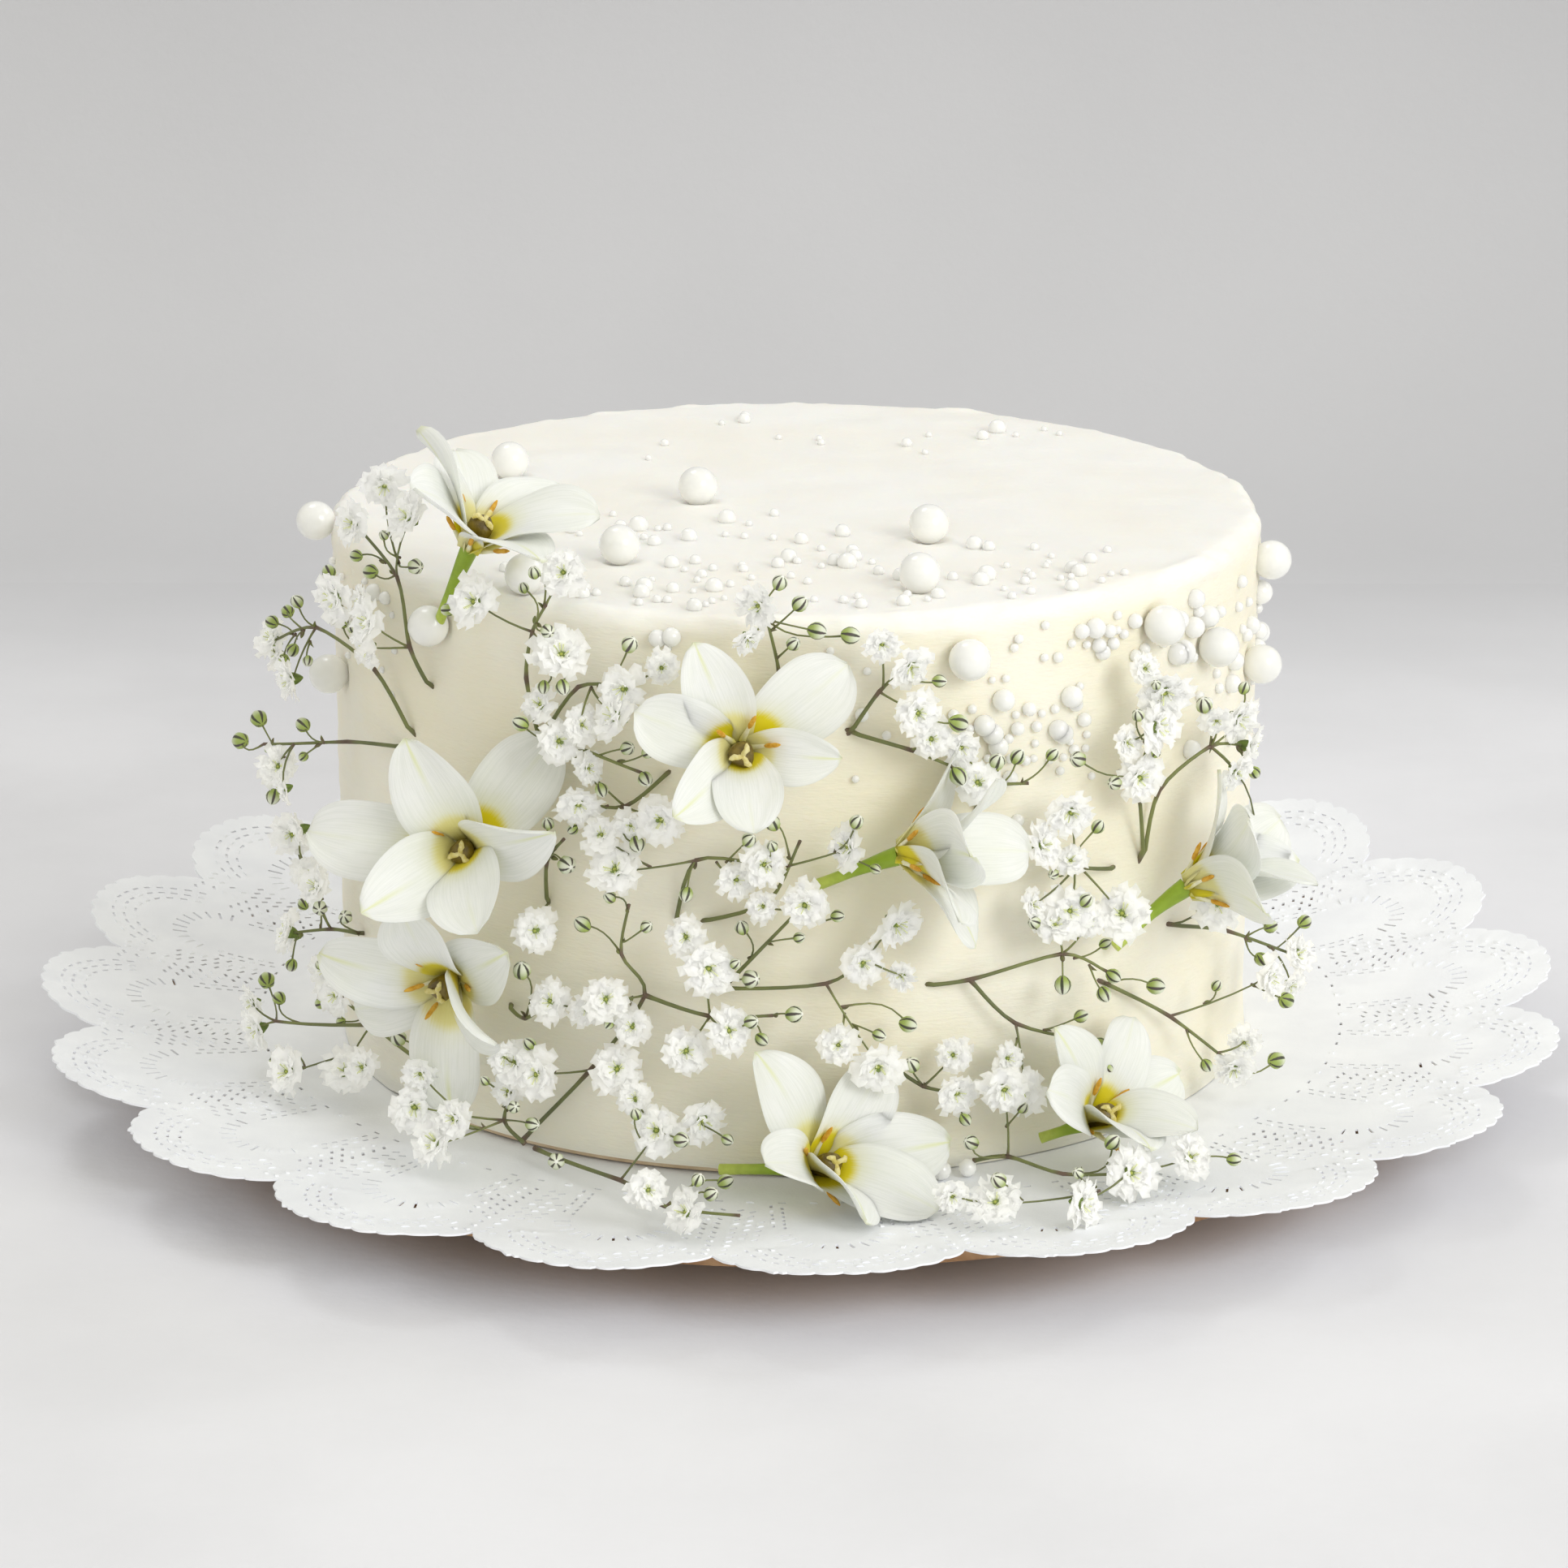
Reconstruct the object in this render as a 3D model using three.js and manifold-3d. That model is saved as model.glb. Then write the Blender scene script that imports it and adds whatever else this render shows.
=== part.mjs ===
// A round iced cake on a paper lace doily and a kraft board, dressed with sugar pearls,
// six-tepalled white blossoms and sprigs of small double white flowers.
// Millimetres, +Z up. The origin is under the middle of the board, on the table.
import * as THREE from 'three';
import { mergeGeometries, mergeVertices } from 'three/addons/utils/BufferGeometryUtils.js';
import Module from 'manifold-3d';

const wasm = await Module();
wasm.setup();

// Driving sizes
const GAP = 0.3;
const CAKE_R = 100;
const CAKE_TALL = 117;
const CAKE_X = -1.3;
const CAKE_Y = -7.1;
const CARD_R = 99.6;
const CARD_THICK = 1.4;
const DOILY_TIP_R = 169.5;
const DOILY_NOTCH_R = 157;
const DOILY_FLAT_R = 122;
const DOILY_THICK = 0.6;
const DOILY_LOBES = 20;
const BOARD_R = 145;
const BOARD_FOOT_R = 115;
const BOARD_TALL = 12;
const BOARD_EDGE = 3;
const BIG_PEARL_R = 4.2;
const PEARL_SUNK = 0.8;
const FLOWER_R = 5.4;
const FLOWER_DEEP = 5.5;
const CALYX_BACK = 1.5;
const BUD_R = 1.6;
const STALK_R = 0.75;
const SHOOT_R = 0.5;
const BUD_STALK_R = 0.42;
const TEPAL_THICK = 1.1;
const OVARY_LONG = 9;
const OVARY_R = 2.5;

// Levels of the stack, from the table up
const DOILY_FOOT = BOARD_TALL + GAP;
const CARD_FOOT = DOILY_FOOT + DOILY_THICK + GAP;
const CAKE_FOOT = CARD_FOOT + CARD_THICK + GAP;
const CAKE_TOP = CARD_FOOT + CAKE_TALL;

const UP = new THREE.Vector3(0, 0, 1);

// A repeatable draw between 0 and 1
function seeded(seed) {
  let state = seed;
  return () => {
    state = (state * 16807) % 2147483647;
    return state / 2147483647;
  };
}

// A spot beside the cake: arc along the icing from the front, height over the card's
// underside and distance out from the icing.
function beside([arc, up, out]) {
  const turn = arc / CAKE_R;
  const reach = CAKE_R + out;
  return new THREE.Vector3(
    CAKE_X + reach * Math.sin(turn),
    CAKE_Y - reach * Math.cos(turn),
    CARD_FOOT + up,
  );
}

function outward(spot) {
  const away = beside([spot[0], spot[1], 1]).sub(beside([spot[0], spot[1], 0]));
  return away.normalize();
}

function mix(a, b, share) {
  return a.map((value, i) => value + (b[i] - value) * share);
}

function span(a, b) {
  return Math.hypot(b[0] - a[0], b[1] - a[1], b[2] - a[2]);
}

// Solids
function toSolid(geometry) {
  const bare = geometry.clone();
  bare.deleteAttribute('normal');
  bare.deleteAttribute('uv');
  const merged = mergeVertices(bare, 1e-4);
  const solid = new wasm.Manifold(new wasm.Mesh({
    numProp: 3,
    vertProperties: new Float32Array(merged.attributes.position.array),
    triVerts: new Uint32Array(merged.index.array),
  }));
  return solid;
}

function toGeometry(solid) {
  const mesh = solid.getMesh();
  const geometry = new THREE.BufferGeometry();
  geometry.setAttribute('position', new THREE.BufferAttribute(mesh.vertProperties, 3));
  geometry.setIndex(new THREE.BufferAttribute(mesh.triVerts, 1));
  geometry.computeVertexNormals();
  return geometry;
}

function join(pieces) {
  return pieces.reduce((whole, piece) => whole.add(piece));
}

// Cutting can leave a loose scrap, which is dropped.
function largest(solid) {
  const pieces = solid.decompose();
  return pieces.reduce((best, piece) => (piece.volume() > best.volume() ? piece : best));
}

// A turned solid from [radius, height] pairs, listed from the bottom up
function turned(pairs, sides) {
  const profile = pairs.map(([radius, height]) => new THREE.Vector2(radius, height));
  const geometry = new THREE.LatheGeometry(profile, sides);
  geometry.rotateX(Math.PI / 2);
  return geometry;
}

// Moves every corner of a geometry by a rule
function reshape(geometry, rule) {
  const corners = geometry.attributes.position;
  for (let i = 0; i < corners.count; i += 1) {
    const moved = rule(corners.getX(i), corners.getY(i), corners.getZ(i));
    corners.setXYZ(i, ...moved);
  }
  return geometry;
}

// Turns a geometry made along +Z to a direction and moves its foot to a place
function aimed(geometry, place, direction) {
  const turn = new THREE.Quaternion().setFromUnitVectors(UP, direction.clone().normalize());
  geometry.applyQuaternion(turn);
  geometry.translate(place.x, place.y, place.z);
  return geometry;
}

// A path with a step at each of its points
class Strand extends THREE.Curve {
  constructor(points) {
    super();
    this.points = points;
  }

  getPoint(share) {
    const place = share * (this.points.length - 1);
    const first = Math.min(Math.floor(place), this.points.length - 2);
    return this.points[first].clone().lerp(this.points[first + 1], place - first);
  }

  getPointAt(share) {
    return this.getPoint(share);
  }

  getTangentAt(share) {
    const before = this.getPoint(Math.max(share - 0.01, 0));
    return this.getPoint(Math.min(share + 0.01, 1)).sub(before).normalize();
  }
}

// `spare` makes a tube thicker, and longer at both ends.
function tube(points, plainRadius, sides, spare) {
  const radius = plainRadius + spare;
  const last = points.length - 1;
  const path = points.map((point) => point.clone());
  path[0].addScaledVector(points[0].clone().sub(points[1]).normalize(), spare);
  path[last].addScaledVector(points[last].clone().sub(points[last - 1]).normalize(), spare);
  const section = new THREE.Shape();
  for (let i = 0; i < sides; i += 1) {
    const angle = (i / sides) * 2 * Math.PI;
    section[i === 0 ? 'moveTo' : 'lineTo'](radius * Math.cos(angle), radius * Math.sin(angle));
  }
  return new THREE.ExtrudeGeometry(section, {
    steps: last,
    extrudePath: new Strand(path),
    bevelEnabled: false,
  });
}

// Board: a kraft pad whose underside is bevelled in to a smaller foot
const BOARD_SIDES = 20;

function boardShape() {
  return turned([
    [0, 0],
    [BOARD_FOOT_R, 0],
    [BOARD_R, BOARD_TALL - BOARD_EDGE],
    [BOARD_R, BOARD_TALL],
    [0, BOARD_TALL],
  ], BOARD_SIDES);
}

// Doily: flat on the board, its scalloped border lifting, least at the front
const LOBE_STEPS = 4;
const LOBE_LEAD = 2.7;
const LOBE_FULLNESS = 2.3;
const BORDER_LIFT = 8.5;
const BORDER_LEAN = 4.2;
const BORDER_WAVE = 1.2;
const WAVE_PHASE = 0.8;
const LIFT_CURVE = 1.6;

function doilyReach(turn) {
  const lobe = (2 * Math.PI) / DOILY_LOBES;
  const lead = THREE.MathUtils.degToRad(LOBE_LEAD);
  const across = (((turn - lead) / lobe) % 1 + 1.5) % 1 - 0.5;
  const round = 1 - Math.abs(2 * across) ** LOBE_FULLNESS;
  return DOILY_NOTCH_R + (DOILY_TIP_R - DOILY_NOTCH_R) * round;
}

function doilyLift(radius, turn) {
  const share = Math.max(0, (radius - DOILY_FLAT_R) / (DOILY_TIP_R - DOILY_FLAT_R));
  const wave = BORDER_WAVE * Math.sin(3 * turn + WAVE_PHASE);
  const rise = BORDER_LIFT - BORDER_LEAN * Math.cos(turn) + wave;
  return rise * share ** LIFT_CURVE;
}

function doilyShape(spare) {
  const rings = [0, DOILY_FLAT_R, DOILY_NOTCH_R];
  const low = rings.map((radius) => [radius, -spare]);
  const high = rings.map((radius) => [radius, DOILY_THICK + spare]).reverse();
  const flat = turned([...low, ...high], DOILY_LOBES * LOBE_STEPS);
  return reshape(flat, (x, y, z) => {
    const radius = Math.hypot(x, y);
    const turn = Math.atan2(x, -y);
    const edge = doilyReach(turn) + spare;
    const reach = radius > DOILY_NOTCH_R - 1 ? edge : radius;
    const lift = DOILY_FOOT + z + doilyLift(reach, turn);
    return [reach * Math.sin(turn), -reach * Math.cos(turn), lift];
  });
}

// Card under the cake
const CARD_SIDES = 30;

function cardShape(spare) {
  const card = turned([
    [0, -spare],
    [CARD_R + spare, -spare],
    [CARD_R + spare, CARD_THICK + spare],
    [0, CARD_THICK + spare],
  ], CARD_SIDES);
  return card.translate(CAKE_X, CAKE_Y, CARD_FOOT);
}

// Cake: one solid with its icing, a soft top edge and faint knife waves
const CAKE_SIDES = 42;
const ICING_WAVE = 0.35;
const FOOT_IN = 0.8;
const BELLY_OUT = 0.2;
const EDGE_WIDE = 4.5;
const EDGE_DEEP = 4;
const EDGE_CUT = 1.2;

function icingWave(turn, up) {
  const slow = Math.sin(3 * turn + 0.7 + up / 40);
  const quick = Math.sin(8 * turn - up / 25);
  return ICING_WAVE * (0.7 * slow + 0.3 * quick);
}

function cakeShape(spare) {
  const tall = CAKE_TOP - CAKE_FOOT;
  const profile = [
    [0, -spare],
    [CAKE_R - FOOT_IN + spare, -spare],
    [CAKE_R + BELLY_OUT + spare, tall / 2],
    [CAKE_R + spare, tall - EDGE_DEEP + spare],
    [CAKE_R - EDGE_CUT + spare, tall - EDGE_CUT + spare],
    [CAKE_R - EDGE_WIDE + spare, tall + spare],
    [0, tall + spare],
  ];
  const whole = reshape(turned(profile, CAKE_SIDES), (x, y, z) => {
    const radius = Math.hypot(x, y);
    const turn = Math.atan2(x, -y);
    const reach = radius > CAKE_R / 2 ? radius + icingWave(turn, z) : radius;
    return [reach * Math.sin(turn), -reach * Math.cos(turn), z];
  });
  return whole.translate(CAKE_X, CAKE_Y, CAKE_FOOT);
}

// Pearls. On top a place is [x, y] from the cake's middle, on the side [arc, up]. A small
// pearl's centre stands out from the icing by a share of its radius.
const BIG_ON_TOP = [[-63, 22], [-21, -2], [-36, -54], [28, -36], [25, -77], [-54, -78]];
const BIG_ON_SIDE = [
  [34, 108], [81, 108], [101, 99], [140, 108], [129, 88], [-80, 108], [-146, 115], [-128, 86],
];

// Each patch: where its middle is, how far it spreads each way, how many, and their radius
const TOP_PATCHES = [
  { middle: [-27, -28], spread: [26, 12], count: 4, radius: 1.7 },
  { middle: [-30, -78], spread: [22, 15], count: 5, radius: 1.5 },
  { middle: [12, -62], spread: [26, 18], count: 4, radius: 1.6 },
  { middle: [52, -62], spread: [18, 22], count: 4, radius: 1.6 },
  { middle: [20, 62], spread: [45, 24], count: 3, radius: 1.6 },
];
const SIDE_PATCHES = [
  { middle: [42, 91], spread: [9, 9], count: 5, radius: 1.7 },
  { middle: [58, 91], spread: [6, 7], count: 4, radius: 1.7 },
  { middle: [66, 108], spread: [16, 5], count: 4, radius: 1.8 },
  { middle: [92, 103], spread: [12, 8], count: 5, radius: 2.2 },
  { middle: [138, 95], spread: [14, 20], count: 5, radius: 2.2 },
  { middle: [12, 96], spread: [5, 13], count: 2, radius: 1.6 },
  { middle: [-27, 113], spread: [5, 2], count: 2, radius: 1.5 },
  { middle: [-108, 104], spread: [20, 14], count: 4, radius: 1.5 },
  { middle: [-200, 95], spread: [45, 16], count: 3, radius: 1.8 },
];
const PEARL_SEED = 4201;
const SMALL_OUT = 0.4;
const SMALL_LEAST = 0.75;
const SMALL_SPREAD = 0.6;
const PEARL_ROOM = 1;

function onTop([x, y], radius) {
  return new THREE.Vector3(CAKE_X + x, CAKE_Y + y, CAKE_TOP + radius);
}

function onSide([arc, up], radius) {
  return beside([arc, up, radius]);
}

function bigPearlPlaces() {
  const above = BIG_PEARL_R - PEARL_SUNK;
  const top = BIG_ON_TOP.map((spot) => onTop(spot, above));
  return top.concat(BIG_ON_SIDE.map((spot) => onSide(spot, above)));
}

// Places of the small pearls: none may touch a big one
function smallPearls() {
  const draw = seeded(PEARL_SEED);
  const big = bigPearlPlaces();
  const kept = [];
  const scatter = (patches, place) => {
    for (const patch of patches) {
      for (let i = 0; i < patch.count; i += 1) {
        const u = patch.middle[0] + patch.spread[0] * (draw() + draw() - 1);
        const v = patch.middle[1] + patch.spread[1] * (draw() + draw() - 1);
        const radius = patch.radius * (SMALL_LEAST + SMALL_SPREAD * draw());
        const centre = place([u, v], radius * SMALL_OUT);
        const reach = BIG_PEARL_R + radius + PEARL_ROOM;
        const clear = big.every((pearl) => pearl.distanceTo(centre) > reach);
        if (clear) {
          kept.push({ centre, radius });
        }
      }
    }
  };
  scatter(TOP_PATCHES, onTop);
  scatter(SIDE_PATCHES, onSide);
  return kept;
}

function bead(centre, radius) {
  return new THREE.IcosahedronGeometry(radius, 0).translate(centre.x, centre.y, centre.z);
}

function bigPearlShape(centre) {
  return new THREE.SphereGeometry(BIG_PEARL_R, 6, 5).translate(centre.x, centre.y, centre.z);
}

// The icing is pressed in round each big pearl. A twenty-sided hollow clears the pearl
// all round when its corners stand this much further out.
const HOLLOW_CORNERS = 1.26;

function dimpleShape(centre) {
  return bead(centre, (BIG_PEARL_R + GAP) * HOLLOW_CORNERS);
}

// Blossoms. Each has six tepals round an ovary and six stamens. `at` is the cup's base,
// `aim` the way it faces, `first` the turn of the first tepal in degrees, `open` the angle
// of each tepal from the aim, `long` the tepals' length, and `stem` the pedicel's cut end.
const BLOSSOMS = [
  { name: 'rim', at: [-67, 127, 4], aim: [4, -4, 8], first: 5, long: 25,
    open: [69, 91, 47, 58, 49, 52], swing: [1, 0, -7, -14, 11, 7],
    reach: [1.02, 0.96, 1.01, 1.06, 1.05, 1.08], stem: [-79, 106, 3], stemR: 1.1 },
  { name: 'upper_middle', at: [-10, 93, 9], aim: [1, -10, 1], first: 43, long: 25,
    open: [86, 86, 73, 51, 34, 77], swing: [-5, 9, -7, -9, -8, 14],
    reach: [1.11, 1.0, 0.93, 0.94, 0.9, 0.84], stem: [-10, 90, 1], stemR: 0.95 },
  { name: 'left', at: [-64, 66, 10], aim: [-1.5, -9, 1.5], first: 55, long: 31,
    open: [84, 69, 84, 48, 28, 55], swing: [-2, -2, 1, -22, 9, 24],
    reach: [1.0, 0.89, 0.99, 0.91, 0.92, 1.01], stem: [-62, 62, 1], stemR: 0.95 },
  { name: 'left_below', at: [-71, 36, 7], aim: [-4, -9, -1], first: 37, long: 27,
    open: [63, 62, 72, 92, 75, 54], swing: [-2, -2, 12, -14, -4, 12],
    reach: [0.99, 0.96, 1.03, 0.84, 1.04, 0.94], stem: [-69, 34, 1], stemR: 0.95 },
  { name: 'sideways', at: [19, 71, 10], aim: [8, -3.5, 3], first: 45, long: 26,
    open: [62, 31, 36, 59, 72, 52], swing: [4, -3, 14, -8, -2, -11],
    reach: [1.02, 1.1, 1.08, 0.93, 0.92, 1.04], stem: [4, 63, 3], stemR: 1.15 },
  { name: 'right', at: [83, 53, 9], aim: [8, -1, 4], first: 75, long: 27,
    open: [50, 49, 53, 29, 34, 48], swing: [0, 4, -1, -1, 12, -13],
    reach: [0.96, 1.02, 0.99, 0.94, 1.01, 0.98], stem: [69, 42, 3], stemR: 1.2 },
  { name: 'foot_middle', at: [3, 6.5, 12], aim: [7, -7, 4], first: -10, long: 26,
    open: [59, 74, 85, 70, 32, 45], swing: [3, -4, -2, -4, -2, 15],
    reach: [1.16, 0.91, 1.08, 1.02, 0.99, 1.12], stem: [-14, 4, 8], stemR: 1.1 },
  { name: 'foot_right', at: [57, 9, 11], aim: [6.5, -7, 6], first: -5, long: 25,
    open: [76, 77, 61, 65, 28, 34], swing: [12, -6, 2, -17, 0, 6],
    reach: [1.01, 0.91, 0.96, 1.05, 1.0, 1.02], stem: [50, 5, 5], stemR: 1.1 },
];
const LOBE_COLUMNS = 4;
const FACE_RINGS = 2;
const TEPAL_CURL = 24;
const INNER_CLOSE = 9;
const LONG_LEAST = 0.94;
const LONG_SPREAD = 0.12;
const TEPAL_WAVE = 2.4;
const PEDICEL_SIDES = 5;
const STAMEN_R = 0.7;
const STAMEN_LONG = 8;
const STAMEN_OUT = 3.2;
const STAMEN_LEAN = 0.4;

// How far the outline reaches at a column of a tepal: its tip, its shoulders, the notch
const OUTLINE = [1, 0.9, 0.64, 0.9];
const TWIST = [0, 1, 0, -1];

// A round sheet whose front and back are split into triangles alike. Its front rises from
// height 1 at the rim to 2 in the middle, and a band closes a rim that has thickness.
function sheetShape(columns, rings, hasRim) {
  const front = new THREE.SphereGeometry(1, columns, rings, 0, 2 * Math.PI, 0, Math.PI / 2);
  front.rotateX(Math.PI / 2).translate(0, 0, 1);
  const back = front.clone().scale(1, 1, -1);
  back.setIndex(Array.from(front.index.array).reverse());
  const sheets = [front, back];
  if (hasRim) {
    sheets.push(new THREE.CylinderGeometry(1, 1, 2, columns, 1, true).rotateX(Math.PI / 2));
  }
  return mergeGeometries(sheets);
}

// The six tepals meet in one cup, so they are one thin sheet. Each column of its corners
// runs out along an arc that bends back to the tip.
function cupShape(plan, draw, spare) {
  const tepals = plan.open.map((open, i) => ({
    lean: THREE.MathUtils.degToRad(open - INNER_CLOSE * (i % 2)),
    long: plan.long * plan.reach[i] * (LONG_LEAST + LONG_SPREAD * draw()),
    wave: TEPAL_WAVE * (draw() - 0.5),
    swing: THREE.MathUtils.degToRad(plan.swing[i]),
  }));
  const columns = LOBE_COLUMNS * tepals.length;
  const curl = THREE.MathUtils.degToRad(TEPAL_CURL);
  const half = TEPAL_THICK / 2 + spare;
  return reshape(sheetShape(columns, FACE_RINGS, spare > 0), (x, y, z) => {
    const rise = THREE.MathUtils.clamp(Math.abs(z) - 1, 0, 1);
    const share = 1 - Math.asin(rise) / (Math.PI / 2);
    if (share < 0.01) {
      return [0, 0, Math.sign(z) * half];
    }
    const turn = Math.atan2(y, x);
    const column = Math.round(((turn / (2 * Math.PI) + 1) % 1) * columns) % columns;
    const step = column % LOBE_COLUMNS;
    const place = (column - step) / LOBE_COLUMNS + (step > LOBE_COLUMNS / 2 ? 1 : 0);
    const tepal = tepals[place % tepals.length];
    const next = tepals[(place + 1) % tepals.length];
    const between = step === LOBE_COLUMNS / 2;
    const lean = between ? (tepal.lean + next.lean) / 2 : tepal.lean;
    const swing = between ? (tepal.swing + next.swing) / 2 : tepal.swing;
    const angle = lean + curl * (2 * share - 1);
    const chord = (lean - curl + angle) / 2;
    const run = (tepal.long * OUTLINE[step] + 2 * spare) * share;
    const face = Math.sign(z) * (share > 0.99 ? spare : half);
    const out = run * Math.sin(chord) - face * Math.cos(angle);
    const lift = run * Math.cos(chord) + face * Math.sin(angle) + TWIST[step] * tepal.wave * share;
    const bearing = turn + THREE.MathUtils.degToRad(plan.first) + swing;
    return [out * Math.cos(bearing), out * Math.sin(bearing), lift];
  });
}

// Axes of a blossom: its own right, its own up and its aim
function blossomAxes(aim) {
  const front = new THREE.Vector3(...aim).normalize();
  const right = new THREE.Vector3().crossVectors(UP, front).normalize();
  const above = new THREE.Vector3().crossVectors(front, right);
  return new THREE.Matrix4().makeBasis(right, above, front);
}

function blossomSolid(plan, seed, spare) {
  const pieces = [cupShape(plan, seeded(seed), spare)];
  const ovary = new THREE.SphereGeometry(1, 5, 3).rotateX(Math.PI / 2);
  ovary.scale(OVARY_R + spare, OVARY_R + spare, OVARY_LONG / 2 + spare);
  pieces.push(ovary.translate(0, 0, OVARY_LONG / 2 - 1));
  for (let i = 0; i < plan.open.length; i += 1) {
    const turn = THREE.MathUtils.degToRad(plan.first + 60 * i + 30);
    const stamen = new THREE.ConeGeometry(STAMEN_R + spare, STAMEN_LONG + spare, 3);
    stamen.rotateX(-Math.PI / 2);
    const middle = new THREE.Vector3(STAMEN_OUT, 0, STAMEN_LONG / 2 + 1);
    pieces.push(aimed(stamen, middle, new THREE.Vector3(STAMEN_LEAN, 0, 1)).rotateZ(turn));
  }
  const base = beside(plan.at);
  const stand = blossomAxes(plan.aim).setPosition(base);
  const solids = pieces.map((piece) => toSolid(piece.applyMatrix4(stand)));
  solids.push(toSolid(tube([base, beside(plan.stem)], plan.stemR, PEDICEL_SIDES, spare)));
  return join(solids);
}

// Sprigs. Every place is [arc, up, out]. Stalks are the main stems, and each flower or
// bud hangs on the nearest older stem by a shoot that leaves it at a slant.
const SPRIGS = [
  { name: 'rim_left',
    stalks: [[[-83, 94, 1], [-84, 103, 5], [-85, 118, 7], [-96, 127, 9]]],
    flowers: [[-97, 128, 11], [-88, 108, 11], [-74, 133, 13], [-84, 138, 10]],
    buds: [[-77, 122, 9], [-91, 118, 9]] },
  { name: 'far_left',
    stalks: [[[-89, 82, 1], [-99, 95, 4], [-116, 100, 9], [-132, 93, 14]]],
    flowers: [[-134, 92, 16], [-120, 88, 13], [-103, 110, 9]],
    buds: [[-108, 114, 9], [-116, 106, 13], [-129, 98, 15]] },
  { name: 'left',
    stalks: [[[-93, 79, 1], [-108, 77, 6], [-127, 72, 18]]],
    flowers: [[-123, 68, 16]],
    buds: [[-133, 71, 22], [-132, 76, 18]] },
  { name: 'upper',
    stalks: [
      [[-53, 88, 1], [-54, 102, 4], [-50, 113, 8], [-45, 120, 12]],
      [[-53, 88, 1], [-42, 102, 5], [-31, 104, 8]],
    ],
    flowers: [[-41, 127, 12], [-60, 118, 11], [-43, 109, 10], [-30, 105, 10], [-32, 98, 10]],
    buds: [[-30, 113, 9]] },
  { name: 'middle_left',
    stalks: [[[-25, 85, 1], [-33, 78, 4], [-41, 79, 8]]],
    flowers: [[-42, 79, 10], [-24, 78, 9]],
    buds: [[-29, 72, 9]] },
  { name: 'beside_blossom',
    stalks: [[[-43, 84, 1], [-43, 90, 6], [-28, 87, 9]]],
    flowers: [[-44, 92, 10]],
    buds: [[-27, 86, 10]] },
  { name: 'thin_left',
    stalks: [[[-52, 54, 1], [-50, 64, 4], [-44, 71, 8]]],
    flowers: [[-50, 51, 9]],
    buds: [[-43, 66, 9]] },
  { name: 'centre',
    stalks: [[[-24, 53, 1], [-19, 68, 4], [-5, 69, 8]]],
    flowers: [[-4, 68, 10], [-33, 66, 9]],
    buds: [[-20, 62, 8]] },
  { name: 'crossing',
    stalks: [[[-19, 54, 1], [-5, 60, 4], [1, 74, 8]]],
    flowers: [[10, 73, 10]],
    buds: [[-4, 78, 9]] },
  { name: 'rising',
    stalks: [
      [[-58, 2, 2], [-41, 21, 4], [-29, 39, 5], [-33, 48, 7], [-31, 59, 8]],
      [[-29, 39, 5], [-16, 36, 6], [-4, 37, 7]],
    ],
    flowers: [[-35, 39, 10], [-20, 30, 10], [-12, 35, 11], [-49, 21, 10], [-33, 24, 9], [-16, 48, 10]],
    buds: [[-40, 54, 9], [0, 38, 9]] },
  { name: 'thick_left',
    stalks: [[[-62, 30, 1], [-55, 30, 5], [-47, 36, 8]]],
    flowers: [[-46, 37, 10]],
    buds: [[-53, 42, 9]] },
  { name: 'level',
    stalks: [
      [[-21, 41, 1], [-14, 41, 3], [6, 43, 5], [13, 49, 8]],
      [[-14, 41, 3], [2, 61, 8]],
    ],
    flowers: [[13, 50, 10], [15, 28, 11], [2, 62, 11], [18, 57, 9]],
    buds: [[-8, 45, 8], [21, 35, 9]] },
  { name: 'low_middle',
    stalks: [[[19, 24, 1], [25, 20, 5], [31, 19, 8]]],
    flowers: [[31, 19, 9]],
    buds: [[22, 26, 8]] },
  { name: 'right_middle',
    stalks: [
      [[27, 40, 1], [35, 41, 3], [53, 45, 7], [62, 40, 9]],
      [[35, 41, 3], [44, 31, 5], [60, 25, 8]],
    ],
    flowers: [[50, 52, 9], [44, 18, 9]],
    buds: [[63, 39, 10], [61, 24, 9], [52, 39, 9]] },
  { name: 'right_long',
    stalks: [[[68, 34, 1], [85, 23, 4], [99, 9, 11]]],
    flowers: [[101, 9, 13], [106, 27, 14]],
    buds: [[112, 20, 16], [108, 8, 16], [76, 33, 8]] },
  { name: 'right_out',
    stalks: [[[90, 41, 1], [103, 37, 6], [120, 27, 15]]],
    flowers: [[120, 26, 17], [93, 47, 9]],
    buds: [[122, 34, 16], [112, 36, 12]] },
  { name: 'right_top',
    stalks: [
      [[79, 58, 1], [81, 73, 3], [91, 81, 8], [98, 80, 12]],
      [[79, 58, 1], [73, 74, 5], [70, 80, 7]],
    ],
    flowers: [[99, 79, 14], [69, 80, 9], [72, 90, 9], [75, 97, 9], [97, 86, 10]],
    buds: [[55, 86, 8], [87, 91, 9], [101, 61, 13]] },
  { name: 'right_centre',
    stalks: [[[71, 58, 1], [58, 62, 5], [47, 69, 8]]],
    flowers: [[46, 70, 9], [53, 76, 9], [53, 55, 9], [64, 52, 11]],
    buds: [[60, 71, 8]] },
  { name: 'upper_right',
    stalks: [
      [[11, 94, 1], [16, 103, 4], [21, 109, 7]],
      [[11, 94, 1], [22, 91, 5], [29, 88, 8]],
    ],
    flowers: [[22, 110, 9], [22, 100, 9]],
    buds: [[30, 97, 9], [30, 86, 9]] },
  { name: 'top_front',
    stalks: [[[-4, 101, 1], [-3, 107, 3], [-5, 119, 8]]],
    flowers: [[-6, 122, 9]],
    buds: [[10, 116, 9], [4, 117, 9]] },
  { name: 'behind_right',
    stalks: [[[37, 76, 1], [37, 82, 5], [44, 83, 9]]],
    flowers: [[34, 84, 8]],
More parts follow.
